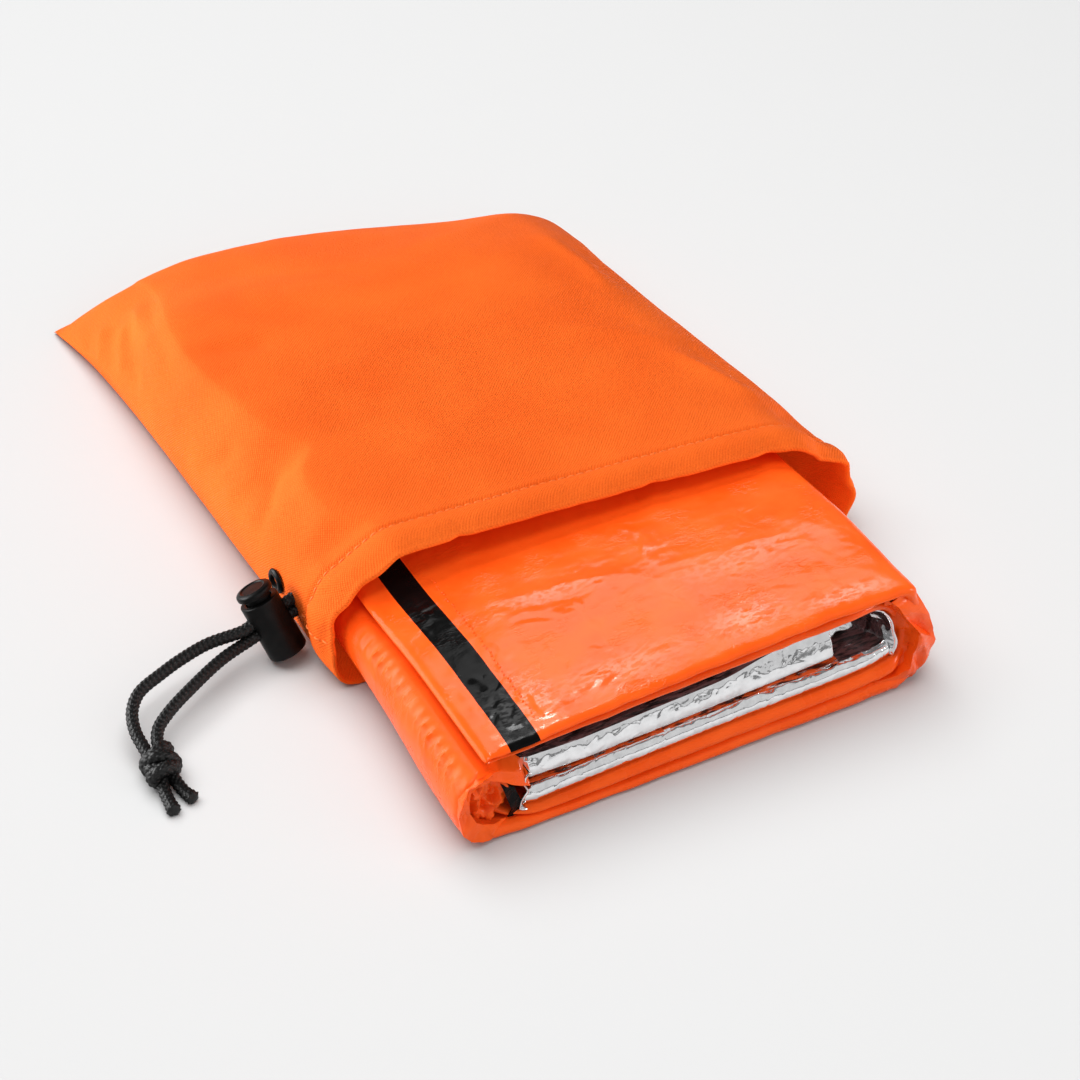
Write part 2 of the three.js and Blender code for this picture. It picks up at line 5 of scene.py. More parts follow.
import bpy
import bmesh
import numpy as np
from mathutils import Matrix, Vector


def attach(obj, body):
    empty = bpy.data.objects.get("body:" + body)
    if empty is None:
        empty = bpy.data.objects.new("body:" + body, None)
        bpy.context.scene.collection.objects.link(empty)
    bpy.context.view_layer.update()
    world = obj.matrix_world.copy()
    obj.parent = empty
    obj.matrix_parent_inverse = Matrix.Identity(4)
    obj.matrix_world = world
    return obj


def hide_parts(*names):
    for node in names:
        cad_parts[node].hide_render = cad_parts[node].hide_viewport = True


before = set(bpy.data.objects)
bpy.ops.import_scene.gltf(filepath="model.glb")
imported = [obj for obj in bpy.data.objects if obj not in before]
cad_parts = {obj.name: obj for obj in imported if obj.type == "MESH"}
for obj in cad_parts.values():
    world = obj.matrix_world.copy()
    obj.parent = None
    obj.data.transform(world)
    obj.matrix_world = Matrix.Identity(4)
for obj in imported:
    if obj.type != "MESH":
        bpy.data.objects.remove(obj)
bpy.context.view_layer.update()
print("frame:", len(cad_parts), "solids")

mm = 0.001
seat = np.array((3.85, -32.25, 0.0))  # layout millimetres to the part's own origin
mainBody = "bag_and_sack"
plungerBody = "lock_plunger"


def toFrame(points):
    return (np.asarray(points, float) + seat) * mm


# camera and light

cameraSet = {
    "azimuth": -27.6, "elevation": 39.7, "distance": 0.875, "target": (0.0, 0.0, 0.0),
    "lens": 92.2, "sensor": 36.0, "clip": (0.01, 20),
}


def makeCamera(s):
    a, e = math.radians(s["azimuth"]), math.radians(s["elevation"])
    back = Vector((math.sin(a) * math.cos(e), -math.cos(a) * math.cos(e), math.sin(e)))
    data = bpy.data.cameras.new("camera")
    data.lens, data.sensor_width, data.sensor_fit = s["lens"], s["sensor"], "HORIZONTAL"
    data.clip_start, data.clip_end = s["clip"]
    camera = bpy.data.objects.new("camera", data)
    camera.location = Vector(toFrame(s["target"])) + back * s["distance"]
    camera.rotation_mode = "QUATERNION"
    camera.rotation_quaternion = (-back).to_track_quat("-Z", "Y")
    bpy.context.collection.objects.link(camera)
    bpy.context.scene.camera = camera


makeCamera(cameraSet)
bpy.context.scene.view_settings.view_transform = "Standard"
bpy.context.scene.view_settings.look = "None"


def softbox(at, to, size, watts, only):  # its place, what it looks at, its size and power, and what it lights
    return {"at": at, "to": to, "size": size, "watts": watts, "only": only}


lightSet = {
    "floorWash": softbox((-0.22, 0.36, 1.6), (0.0, 0.0, 0.0), (2.1, 2.1), 70.5, "floor"),
    "windowLeft": softbox((-1.0, 0.72, 0.46), (0.0, 0.0, 0.02), (1.2, 0.55), 33.0, "cloth"),
    "windowFilm": softbox((-1.0, 0.72, 0.5), (0.0, 0.0, 0.02), (2.7, 1.1), 39.0, "film"),
    "behind": softbox((0.481, 0.662, 1.01), (0.0, -0.05, 0.02), (0.74, 0.52), 4.7, "film"),
    "glint": softbox((0.2, 0.5, 1.25), (0.0, -0.1, 0.02), (0.16, 0.16), 3.2, "film"),
    "over": softbox((-0.35, -0.25, 1.5), (0.0, -0.1, 0.02), (0.6, 0.6), 7.6, "film"),
    "frontFilm": softbox((0.3, -1.15, 0.8), (0.0, 0.0, 0.0), (2.4, 1.5), 5.2, "film"),
    "frontSilver": softbox((0.3, -1.15, 0.8), (0.0, 0.0, 0.0), (2.4, 1.5), 3.2, "silver"),
    "sideFilm": softbox((1.0, -0.6, 0.35), (0.0, -0.12, 0.02), (0.3, 0.3), 4.6, "film"),
    "front": softbox((0.3, -1.15, 0.8), (0.0, 0.0, 0.0), (2.4, 1.5), 16.0, "plain"),
    "rightFill": softbox((1.1, -0.5, 0.55), (0.0, 0.0, 0.02), (0.8, 0.6), 8.5, "cloth"),
}
worldSet = {"color": (1.0, 1.0, 1.0), "strength": 0.2}
litGroups = {name: bpy.data.collections.new(name) for name in ("floor", "film", "silver", "cloth", "plain")}


def makeLights(lights, world):
    for name, s in lights.items():
        data = bpy.data.lights.new(name, "AREA")
        data.shape, data.energy = "RECTANGLE", s["watts"]
        data.size, data.size_y = s["size"]
        lamp = bpy.data.objects.new(name, data)
        lamp.location = s["at"]
        lamp.rotation_mode = "QUATERNION"
        lamp.rotation_quaternion = (Vector(s["to"]) - Vector(s["at"])).to_track_quat("-Z", "Y")
        bpy.context.collection.objects.link(lamp)
        lamp.light_linking.receiver_collection = litGroups[s["only"]]
    sky = bpy.data.worlds.new("studio")
    sky.use_nodes = True
    air = sky.node_tree.nodes["Background"].inputs
    air["Color"].default_value = (*world["color"], 1)
    air["Strength"].default_value = world["strength"]
    bpy.context.scene.world = sky


makeLights(lightSet, worldSet)

# numbers


def smooth(low, high, x):
    t = np.clip((np.asarray(x, float) - low) / (high - low), 0, 1)
    return t * t * (3 - 2 * t)


def mix(a, b, t):
    return a + (b - a) * t


def hashed(cells, seed):
    n = cells[..., 0] * 73856093 ^ cells[..., 1] * 19349663 ^ cells[..., 2] * 83492791 ^ seed * 668265263
    n = (n ^ (n >> 13)) * 1274126177 & 0xFFFFFFFF
    return n ^ (n >> 16)


def ripple(points, seed=0):  # gradient noise in three dimensions
    points = np.asarray(points, float)
    cell = np.floor(points).astype(np.int64)
    f = points - cell
    w = f * f * f * (f * (f * 6 - 15) + 10)
    total = np.zeros(points.shape[:-1])
    for corner in itertools.product((0, 1), repeat=3):
        h = hashed(cell + corner, seed)
        slope = np.stack([((h >> s) & 255) / 127.5 - 1 for s in (0, 8, 16)], -1)
        share = np.prod([w[..., k] if c else 1 - w[..., k] for k, c in enumerate(corner)], axis=0)
        total += share * (slope * (f - np.array(corner))).sum(-1)
    return total


def ripples(points, size, octaves=3, seed=0, fold=False):  # layered noise, folded gives creases
    total, gain = 0, 1.0
    for k in range(octaves):
        n = ripple(np.asarray(points) / size * 2 ** k, seed + k)
        total = total + gain * (0.35 - 1.4 * np.abs(n) if fold else n)
        gain *= 0.5
    return total


# a turn that hides the grid of the facets
tilted = np.array(((0.36, 0.48, -0.8), (-0.8, 0.6, 0.0), (0.48, 0.64, 0.6)))


def facets(points, size, octaves=2, seed=0):  # flat-sided crumples, as of creased foil
    turned = np.asarray(points, float) @ tilted
    total, gain = 0, 1.0
    for k in range(octaves):
        q = turned / size * 1.9 ** k + seed
        cell = np.floor(q).astype(np.int64)
        order = np.argsort(cell - q, axis=-1)
        f = np.take_along_axis(q - cell, order, -1)
        shares = -np.diff(f, axis=-1, prepend=1, append=0)
        for j in range(4):
            height = (hashed(cell, seed + k) & 1023) / 511.5 - 1
            total = total + gain * shares[..., j] * height
            if j < 3:
                cell = cell + np.eye(3, dtype=np.int64)[order[..., j]]
        gain *= 0.5
    return total


def monotone(xs, ys, x):  # smooth curve through a table that never overshoots it
    xs, ys = np.asarray(xs, float), np.asarray(ys, float)
    h = np.diff(xs)
    d = np.diff(ys) / h
    m = np.empty(len(xs))
    m[0], m[-1] = d[0], d[-1]
    for i in range(1, len(xs) - 1):
        same = d[i - 1] * d[i] > 0
        w1, w2 = 2 * h[i] + h[i - 1], h[i] + 2 * h[i - 1]
        m[i] = (w1 + w2) / (w1 / d[i - 1] + w2 / d[i]) if same else 0
    i = np.clip(np.searchsorted(xs, x) - 1, 0, len(h) - 1)
    t = (np.asarray(x, float) - xs[i]) / h[i]
    return ((2 * t ** 3 - 3 * t ** 2 + 1) * ys[i] + (t ** 3 - 2 * t ** 2 + t) * h[i] * m[i]
            + (3 * t ** 2 - 2 * t ** 3) * ys[i + 1] + (t ** 3 - t ** 2) * h[i] * m[i + 1])


def curveThrough(points, counts, closed=False):  # rounded curve, counts samples on each span
    p = np.asarray(points, float)
    if closed:
        ends = np.vstack((p[-1:], p, p[:2]))
    else:
        ends = np.vstack((2 * p[:1] - p[1:2], p, 2 * p[-1:] - p[-2:-1]))
    out = []
    for i, count in enumerate(counts):
        a, b, c, d = ends[i:i + 4]
        ab, bc, cd = (max(np.linalg.norm(q - r) ** 0.5, 1e-4) for q, r in ((b, a), (c, b), (d, c)))
        m1 = ((b - a) / ab - (c - a) / (ab + bc) + (c - b) / bc) * bc
        m2 = ((c - b) / bc - (d - b) / (bc + cd) + (d - c) / cd) * bc
        t = (np.arange(count) / count)[:, None]
        out.append((2 * t ** 3 - 3 * t ** 2 + 1) * b + (t ** 3 - 2 * t ** 2 + t) * m1
                   + (3 * t ** 2 - 2 * t ** 3) * c + (t ** 3 - t ** 2) * m2)
    if not closed:
        out.append(p[-1:])
    return np.concatenate(out)


def toLine(points, line):  # distance to a broken line, and how far along it from 0 to 1
    line = np.asarray(line, float)
    steps = np.linalg.norm(np.diff(line, axis=0), axis=1)
    starts = np.concatenate(([0], np.cumsum(steps)))
    best, along = np.full(points.shape[:-1], 1e9), np.zeros(points.shape[:-1])
    for a, b, length, start in zip(line[:-1], line[1:], steps, starts):
        t = np.clip(((points - a) @ (b - a)) / length ** 2, 0, 1)
        d = np.linalg.norm(points - a - t[..., None] * (b - a), axis=-1)
        along = np.where(d < best, (start + t * length) / starts[-1], along)
        best = np.minimum(best, d)
    return best, along


def foldAlong(rise, spread, *line, ease=0.25, toEdge=False):  # a crease, eased at its ends unless at an edge
    return {"rise": rise, "spread": spread, "line": line, "ease": ease, "toEdge": toEdge}


def foldLift(points, folds):  # the height that a list of creases adds
    lift = np.zeros(points.shape[:-1])
    for crease in folds:
        d, along = toLine(points, crease["line"])
        d = np.sqrt((d / crease["spread"]) ** 2 + 0.02) - 0.14  # rounded on its line
        ends = smooth(-0.02, crease["ease"], 1 - along)
        if not crease["toEdge"]:
            ends = ends * smooth(-0.02, crease["ease"], along)
        lift += crease["rise"] * np.exp(-d * np.maximum(d, 1.0)) * ends
    return lift


def lengths(points):  # length of the run up to each point
    steps = np.linalg.norm(np.diff(points, axis=0), axis=1)
    return np.concatenate(([0], np.cumsum(steps)))


def turnOf(count):  # even angles round a circle
    return np.arange(count) * 2 * math.pi / count


# meshes

# lamps that light a finish, where they aren't those of cloth and plain things
litBy = {"paleFloor": ("floor", "plain"), "silverFilm": ("film", "silver"), "orangeFilm": ("film",)}


def addMesh(name, points, faces, finish, sharpFrom=None):  # edges sharper than an angle stay sharp
    mesh = bpy.data.meshes.new(name)
    mesh.from_pydata(np.asarray(points).reshape(-1, 3).tolist(), [], faces)
    mesh.validate()
    mesh.polygons.foreach_set("use_smooth", [True] * len(mesh.polygons))
    if sharpFrom:
        mesh.set_sharp_from_angle(angle=math.radians(sharpFrom))
    made = bpy.data.objects.new(name, mesh)
    bpy.context.collection.objects.link(made)
    if finish:
        mesh.materials.append(finish)
    for group in litBy.get(finish.name if finish else "", ("cloth", "plain")):
        litGroups[group].objects.link(made)
    return made


def outward(made):  # faces point out of a closed mesh
    work = bmesh.new()
    work.from_mesh(made.data)
    bmesh.ops.recalc_face_normals(work, faces=work.faces)
    work.to_mesh(made.data)
    work.free()
    return made


def gridFaces(rows, count):  # sides of a tube of rings
    faces = []
    for r in range(rows - 1):
        a, b = r * count, (r + 1) * count
        for i in range(count):
            k = (i + 1) % count
            faces.append((a + i, a + k, b + k, b + i))
    return faces


def endFaces(rows, count):  # closes the two ends of a tube of rings
    return [tuple(range(count)), tuple(range((rows - 1) * count, rows * count))[::-1]]


def joinFaces(rows, count):  # joins the last ring to the first
    last = (rows - 1) * count
    return [(last + i, last + (i + 1) % count, (i + 1) % count, i) for i in range(count)]


def shifted(faces, first):
    return [tuple(i + first for i in face) for face in faces]


def joinShells(shells):  # points, faces and tones of several shells as one
    points, faces, tones = [], [], []
    for grid, shellFaces, tone in shells:
        faces += shifted(shellFaces, sum(len(q) for q in points))
        points.append(grid.reshape(-1, 3))
        tones.append(np.broadcast_to(tone, grid.shape[:-1]).ravel())
    return np.concatenate(points), faces, np.concatenate(tones)


def setTones(made, faces, tones, *finishes):  # a face takes the lowest tone of its corners
    for finish in finishes:
        made.data.materials.append(finish)
    made.data.polygons.foreach_set("material_index", [int(tones[list(face)].min()) for face in faces])


def asPiece(made, body, slot, *nodes):  # the body it rides and the solids it stands for, which are hidden; slot is not used
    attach(made, body)
    if nodes:
        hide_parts(*nodes)
    return made


def gridNormals(p):  # of rings
    n = np.cross(np.roll(p, -1, 1) - np.roll(p, 1, 1), np.gradient(p, axis=0))
    return n / np.maximum(np.linalg.norm(n, axis=-1, keepdims=True), 1e-9)


def addUv(made, u, v, wrap):  # metric coordinates for each corner, wrap is the girth of a closed row
    layer = made.data.uv_layers.new(name="cloth")
    u, v, wrap = np.ravel(u), np.ravel(v), np.ravel(wrap)
    data = np.empty((len(made.data.loops), 2))
    for face in made.data.polygons:
        corners = list(face.vertices)
        us = u[corners]
        if us.max() - us.min() > 0.5 * wrap[corners].max():
            us = np.where(us < 0.5 * wrap[corners], us + wrap[corners], us)
        for loop, a, c in zip(face.loop_indices, us, corners):
            data[loop] = a, v[c]
    layer.data.foreach_set("uv", data.ravel())


def addValue(made, name, values):
    layer = made.data.attributes.new(name, "FLOAT", "POINT")
    layer.data.foreach_set("value", np.ravel(values).astype(np.float32))


# finishes


class Wire:  # one socket, with maths as operators
    def __init__(self, finish, socket):
        self.finish, self.socket = finish, socket

    def calc(self, operation, other=None, swap=False):
        pair = [self] if other is None else [other, self] if swap else [self, other]
        return self.finish.add("ShaderNodeMath", {"operation": operation}, dict(enumerate(pair)))["Value"]

    def __add__(self, other):
        return self.calc("ADD", other)

    def __radd__(self, other):
        return self.calc("ADD", other, True)

    def __sub__(self, other):
        return self.calc("SUBTRACT", other)

    def __rsub__(self, other):
        return self.calc("SUBTRACT", other, True)

    def __mul__(self, other):
        return self.calc("MULTIPLY", other)

    def __rmul__(self, other):
        return self.calc("MULTIPLY", other, True)

    def __abs__(self):
        return self.calc("ABSOLUTE")

    def sine(self):
        return self.calc("SINE")

    def between(self, low, high, low2=0.0, high2=1.0):  # eased step from one range to another
        sockets = {"Value": self, "From Min": low, "From Max": high, "To Min": low2, "To Max": high2}
        return self.finish.add("ShaderNodeMapRange", {"interpolation_type": "SMOOTHSTEP"}, sockets)["Result"]


class Finish:  # one material
    def __init__(self, name, **fixed):
        self.material = bpy.data.materials.new(name)
        self.material.use_nodes = True
        self.tree = self.material.node_tree
        self.shader = self.tree.nodes["Principled BSDF"]
        for socket, value in fixed.items():
            self.set(socket, value)

    def set(self, socket, value):
        self.plug(self.shader.inputs[socket], value)

    def plug(self, socket, value):
        if isinstance(value, Wire):
            self.tree.links.new(value.socket, socket)
        elif hasattr(value, "__len__") and socket.type == "RGBA":
            socket.default_value = (*value, 1) if len(value) == 3 else value
        else:
            socket.default_value = value

    def add(self, kind, settings=None, sockets=None):
        node = self.tree.nodes.new(kind)
        for key, value in (settings or {}).items():
            setattr(node, key, value)
        byId = {s.identifier: s for s in node.inputs}
        for key, value in (sockets or {}).items():
            socket = node.inputs[key] if isinstance(key, int) else byId.get(key) or node.inputs[key]
            self.plug(socket, value)
        named = {s.name: Wire(self, s) for s in node.outputs if s.enabled}
        return {s.identifier: Wire(self, s) for s in node.outputs} | named

    def place(self):  # place in the part's frame, in metres
        return self.add("ShaderNodeTexCoord")["Object"]

    def uv(self):
        return self.add("ShaderNodeUVMap", {"uv_map": "cloth"})["UV"]

    def parts(self, vector):
        made = self.add("ShaderNodeSeparateXYZ", None, {"Vector": vector})
        return made["X"], made["Y"], made["Z"]

    def value(self, name):
        return self.add("ShaderNodeAttribute", {"attribute_name": name})["Fac"]

    def vector(self, operation, a, b):
        return self.add("ShaderNodeVectorMath", {"operation": operation}, {0: a, 1: b})["Vector"]

    def cloud(self, vector, scale, detail=2.0, rough=0.5, stretch=None):
        if stretch:
            vector = self.vector("MULTIPLY", vector, stretch)
        sockets = {"Vector": vector, "Scale": scale, "Detail": detail, "Roughness": rough}
        return self.add("ShaderNodeTexNoise", None, sockets)["Fac"]

    def blend(self, share, a, b):
        sockets = {"Factor_Float": share, "A_Color": a, "B_Color": b}
        return self.add("ShaderNodeMix", {"data_type": "RGBA"}, sockets)["Result_Color"]

    def bump(self, height, distance, strength):
        sockets = {"Height": height, "Distance": distance, "Strength": strength}
        return self.add("ShaderNodeBump", None, sockets)["Normal"]


def scaled(color, share):
    return tuple(c * share for c in color)


def clothFinish(name, color, deep, pitch, glow=None):
    f = Finish(name, **{"Specular IOR Level": 0.1, "Specular Tint": (1.0, 0.4, 0.12), "Sheen Weight": 0.02,
                        "Sheen Roughness": 0.4, "Sheen Tint": (1.0, 0.45, 0.15)})
    u, v, _ = f.parts(f.uv())
    turn = math.pi / pitch
    wander = f.cloud(f.uv(), 90.0) * 0.5 - 0.25  # threads aren't quite straight
    weave = (u * turn + wander).sine() * (v * turn - wander).sine() * 0.5 + 0.5  # over and under in turn
    warp = f.cloud(f.uv(), 1.0, 2.0, 0.6, (1700.0, 620.0, 1.0))  # thick and thin places of the yarns
    weft = f.cloud(f.uv(), 1.0, 2.0, 0.6, (620.0, 1700.0, 1.0))
    blotch = f.cloud(f.place(), 26.0, 3.0, 0.55)
    yarn = weave * 0.34 + warp * 0.36 + weft * 0.3
    tone = yarn * 0.6 + blotch * 0.4
    f.set("Base Color", f.blend(tone.between(0.3, 0.7), deep, color))
    f.set("Roughness", 0.8 - yarn * 0.2)
    f.set("Normal", f.bump(yarn, 0.0006, 0.85))
    if glow:  # painted glow: an emission that stands in for daylight through the thin cloth, set from the lip to deep inside
        _, y, _ = f.parts(f.place())
        depth = y.between(*glow["reach"]) + tone * 0.2
        lip, deep = scaled(glow["color"], glow["lip"]), scaled(glow["color"], glow["deep"])
        f.set("Emission Color", f.blend(depth, lip, deep))
        f.set("Emission Strength", 1.0)
    return f.material


def creases(f, vector, size, wobble):  # thin straight fold lines, high on the lines
    bent = f.cloud(vector, 1.4 / size, 2.0)
    stray = {"X": bent * wobble, "Y": bent * -wobble, "Z": bent * wobble}
    shift = f.vector("ADD", vector, f.add("ShaderNodeCombineXYZ", None, stray)["Vector"])
    sockets = {"Vector": shift, "Scale": 1.0 / size}
    cells = f.add("ShaderNodeTexVoronoi", {"feature": "DISTANCE_TO_EDGE"}, sockets)["Distance"]
    return 1.0 - cells.between(0.0, 0.22)


def filmFinish(name, color, deep, gloss=1.0, **fixed):
    f = Finish(name, **{"IOR": 1.5, **fixed})
    haze = f.cloud(f.place(), 55.0, 4.0, 0.6)
    scuff = f.cloud(f.place(), 240.0, 4.0, 0.65)
    tone = f.blend(haze.between(0.3, 0.7), deep, color)
    pale = tuple(min(1.0, c * 1.5 + 0.004) for c in color)
    f.set("Base Color", f.blend(scuff.between(0.62, 0.8) * 0.25, tone, pale))
    _, _, z = f.parts(f.place())
    dull = z.between(0.0265, 0.0295, 1.0, 0.0)  # the roll and the lower plies are rubbed dull
    rub = scuff.between(0.6, 0.75, 0.0, 0.06)
    f.set("Roughness", haze.between(0.3, 0.7, 0.1, 0.25) + rub + dull * 0.13)
    lines = creases(f, f.place(), 0.011, 0.006) * f.cloud(f.place(), 42.0, 2.0).between(0.42, 0.66)
    grain = f.cloud(f.place(), 1.0, 2.0, 0.6, (210.0, 520.0, 360.0))
    ridge = 1.0 - abs(grain * 2.0 - 1.0)
    fine = ridge.between(0.8, 1.0) * f.cloud(f.place(), 60.0, 2.0).between(0.5, 0.7)
    f.set("Coat Weight", ridge.between(0.78, 0.96) * f.value("crinkle") * gloss)
    f.set("Coat Roughness", 0.1)
    broad = f.cloud(f.place(), 95.0, 3.0, 0.5)
    f.set("Normal", f.bump(lines * 0.4 + fine * 0.3 + broad * 0.16, 0.0005, 0.55))
    return f.material


def silverFinish(name):
    f = Finish(name, **{"Metallic": 1.0})
    lines = creases(f, f.place(), 0.006, 0.004)
    fine = f.cloud(f.place(), 330.0, 4.0, 0.6)
    broad = f.cloud(f.place(), 110.0, 2.0, 0.5)
    f.set("Base Color", f.blend(fine.between(0.3, 0.7), (0.78, 0.78, 0.79), (0.9, 0.9, 0.91)))
    f.set("Roughness", fine.between(0.3, 0.8, 0.06, 0.19))
    f.set("Normal", f.bump(lines * 0.4 + fine * 0.25 + broad * 0.6, 0.0006, 0.42))
    return f.material


def streakFinish(name, color, deep, shine, share):  # painted reflection and shade in the silver's creases, with streaks of bare silver
    f = Finish(name, **{"Specular IOR Level": 0.3})
    streak = f.cloud(f.place(), 1.0, 3.0, 0.6, (130.0, 1000.0, 1500.0))
    other = f.cloud(f.place(), 1.0, 3.0, 0.6, (170.0, 900.0, 1300.0))
    metal = streak.between(share, share + 0.05)
    f.set("Base Color", f.blend(metal, f.blend(other.between(0.4, 0.56), deep, color), shine))
    f.set("Metallic", metal)
    f.set("Roughness", 0.34 - metal * 0.14)
    f.set("Normal", f.bump(streak + other, 0.0007, 0.7))
    return f.material


def plasticFinish(name, color, rough, grain):
    f = Finish(name, **{"Specular IOR Level": 0.11})
    speck = f.cloud(f.place(), grain, 3.0, 0.6)
    wear = f.cloud(f.place(), 300.0, 2.0)
    f.set("Base Color", f.blend(wear.between(0.35, 0.75), color, tuple(c * 1.6 + 0.001 for c in color)))
    f.set("Roughness", rough + (speck - 0.5) * 0.16)
    f.set("Normal", f.bump(speck, 0.00008, 0.25))
    return f.material


def braidFinish(name, color):
    f = Finish(name, **{"Specular IOR Level": 0.3})
    u, v, _ = f.parts(f.uv())
    fibre = (u * 9000.0 + v * 5200.0).sine() * 0.5 + 0.5
    fuzz = f.cloud(f.place(), 1500.0, 3.0, 0.6)
    f.set("Base Color", f.blend(fuzz.between(0.35, 0.75), color, scaled(color, 2)))
    f.set("Roughness", 0.4 + fibre * 0.1 + fuzz * 0.12)
    f.set("Normal", f.bump(fibre * 0.4 + fuzz, 0.00009, 0.5))
    return f.material


def threadFinish(name, color):
    f = Finish(name, **{"Roughness": 0.6, "Specular IOR Level": 0.35})
    twist = f.cloud(f.place(), 2400.0, 2.0)
    f.set("Base Color", f.blend(twist.between(0.3, 0.7), scaled(color, 0.8), color))
    f.set("Normal", f.bump(twist, 0.00006, 0.4))
    return f.material


def floorFinish(name, color):
    f = Finish(name, **{"Specular IOR Level": 0.1})
    mottle = f.cloud(f.place(), 30.0, 3.0)
    f.set("Base Color", f.blend(mottle, scaled(color, 0.995), color))
    f.set("Roughness", 0.8 + mottle * 0.1)
    return f.material


sackCloth = clothFinish("sackCloth", (1.0, 0.166, 0.0205), (0.84, 0.104, 0.0115), 0.0005)
orangeFilm = filmFinish("orangeFilm", (1.0, 0.117, 0.0105), (0.94, 0.091, 0.0065),
                        **{"Specular IOR Level": 0.2, "Specular Tint": (1.0, 0.88, 0.74)})
blackFilm = filmFinish("blackFilm", (0.003, 0.003, 0.003), (0.002, 0.002, 0.002), 0.3,
                       **{"Specular IOR Level": 0.06})
# orange painted reflection of the plies in the silver's creases, with darker painted shade
paintedGrooveReflection = streakFinish("paintedGrooveReflection", (0.85, 0.1, 0.012), (0.06, 0.01, 0.004), (0.85, 0.8, 0.78), 0.6)
# maroon painted shade and dark reflection of the flap's underside, deep under the flap and in the pocket
paintedShadowFoil = streakFinish("paintedShadowFoil", (0.13, 0.045, 0.045), (0.02, 0.006, 0.006), (0.6, 0.5, 0.5), 0.66)
# a dark copy of the orange film: painted shade for the lower face of the ply under the flap
paintedShadeFilm = filmFinish("paintedShadeFilm", (0.06, 0.008, 0.002), (0.04, 0.006, 0.002), **{"Specular IOR Level": 0.2})
silverFilm = silverFinish("silverFilm")
blackPlastic = plasticFinish("blackPlastic", (0.0025, 0.0025, 0.0025), 0.38, 2600.0)
blackBraid = braidFinish("blackBraid", (0.002, 0.002, 0.002))
# painted glow of the cloth inside the mouth, an emission standing in for light through the cloth: its colour,
# how strong it is at the lip and deep inside, and its reach
paintedInsideGlow = {"color": (0.13, 0.018, 0.0015), "lip": 2.2, "deep": 0.7, "reach": (-0.079, -0.062)}
sackInside = clothFinish("sackInside", (0.9, 0.12, 0.012), (0.8, 0.09, 0.008), 0.00048, paintedInsideGlow)
orangeThread = threadFinish("orangeThread", (1.0, 0.21, 0.03))
paleFloor = floorFinish("paleFloor", (0.42, 0.42, 0.42))
print("finishes made")

# the floor the part lies on

floorSet = {"size": 6.0}


def makeFloor(s):
    h = s["size"] / 2
    floor = addMesh("floor", [(-h, -h, 0), (h, -h, 0), (h, h, 0), (-h, h, 0)], [(0, 1, 2, 3)], paleFloor)


makeFloor(floorSet)

# cord lock, in its own axes: across (the way the cords pass), along the barrel, and the third

lockSet = {
    "foot": (-92.7, -14.7, 3.2), "axis": (-0.28, 0.405, 0.87), "diameter": 12.2, "length": 19.3,
    "bore": 8.4, "floor": 2.0, "edge": 0.9, "travel": 1.6, "stem": 7.8, "cap": 11.4, "capThick": 2.0,
    "gap": 0.3, "upperCord": 13.5, "lowerCord": 9.9, "slotWidth": 4.0, "slotReach": 14,
    "pin": 0.2,  # the turned profiles start just off the axis
}
sharpAngle = 40  # degrees, edges of the lock that stay sharp


def lockAxes(s):
    along = np.array(s["axis"]) / np.linalg.norm(s["axis"])
    across = np.array((1.0, 0, 0)) - along[0] * along
    across /= np.linalg.norm(across)
    return across, along, np.cross(across, along)


def lockPoint(s, a, h, t=0.0):
    across, along, third = lockAxes(s)
    return np.array(s["foot"]) + a * across + h * along + t * third


def turnedInLock(name, profile, segments=72):  # profile of radius and height, closed on the axis
    points = []
    for r, h in profile:
        points += [lockPoint(lockSet, r * math.cos(a), h, r * math.sin(a)) for a in turnOf(segments)]
    faces = gridFaces(len(profile), segments) + endFaces(len(profile), segments)
    return outward(addMesh(name, toFrame(points), faces, blackPlastic, sharpAngle))


def softCorner(a, b, c, steps, size):  # rounds corner b of a profile
    a, b, c = (np.array(q, float) for q in (a, b, c))
    p = b + (a - b) / np.linalg.norm(a - b) * size
    q = b + (c - b) / np.linalg.norm(c - b) * size
    t = np.linspace(0, 1, steps + 1)[:, None]
    return ((1 - t) ** 2 * p + 2 * t * (1 - t) * b + t ** 2 * q).tolist()


def rounded(corners, sizes):
    out = [corners[0]]
    for i in range(1, len(corners) - 1):
        out += softCorner(*corners[i - 1:i + 2], 5, sizes[i]) if sizes[i] else [corners[i]]
    return out + [corners[-1]]


def slotCutter(s, low, high):  # stadium-shaped passage for the cords
    r = s["slotWidth"] / 2
    outline = [(r * math.cos(a), high + r * math.sin(a)) for a in np.linspace(0, math.pi, 14)]
    outline += [(r * math.cos(a), low + r * math.sin(a)) for a in np.linspace(math.pi, 2 * math.pi, 14)]
    n = len(outline)
    points = [lockPoint(s, a, h, t) for a in (-s["slotReach"], s["slotReach"]) for t, h in outline]
    faces = [(i, (i + 1) % n, n + (i + 1) % n, n + i) for i in range(n)]
    faces += [tuple(range(n))[::-1], tuple(range(n, 2 * n))]
    return outward(addMesh("slot", toFrame(points), faces, None))


def cutAway(made, cutter):
    tool = made.modifiers.new("cut", "BOOLEAN")
    tool.operation, tool.solver, tool.object = "DIFFERENCE", "EXACT", cutter
    result = bpy.data.meshes.new_from_object(made.evaluated_get(bpy.context.evaluated_depsgraph_get()))
    made.modifiers.clear()
    made.data = result
    result.polygons.foreach_set("use_smooth", [True] * len(result.polygons))
    result.set_sharp_from_angle(angle=math.radians(sharpAngle))
    bpy.data.objects.remove(cutter)


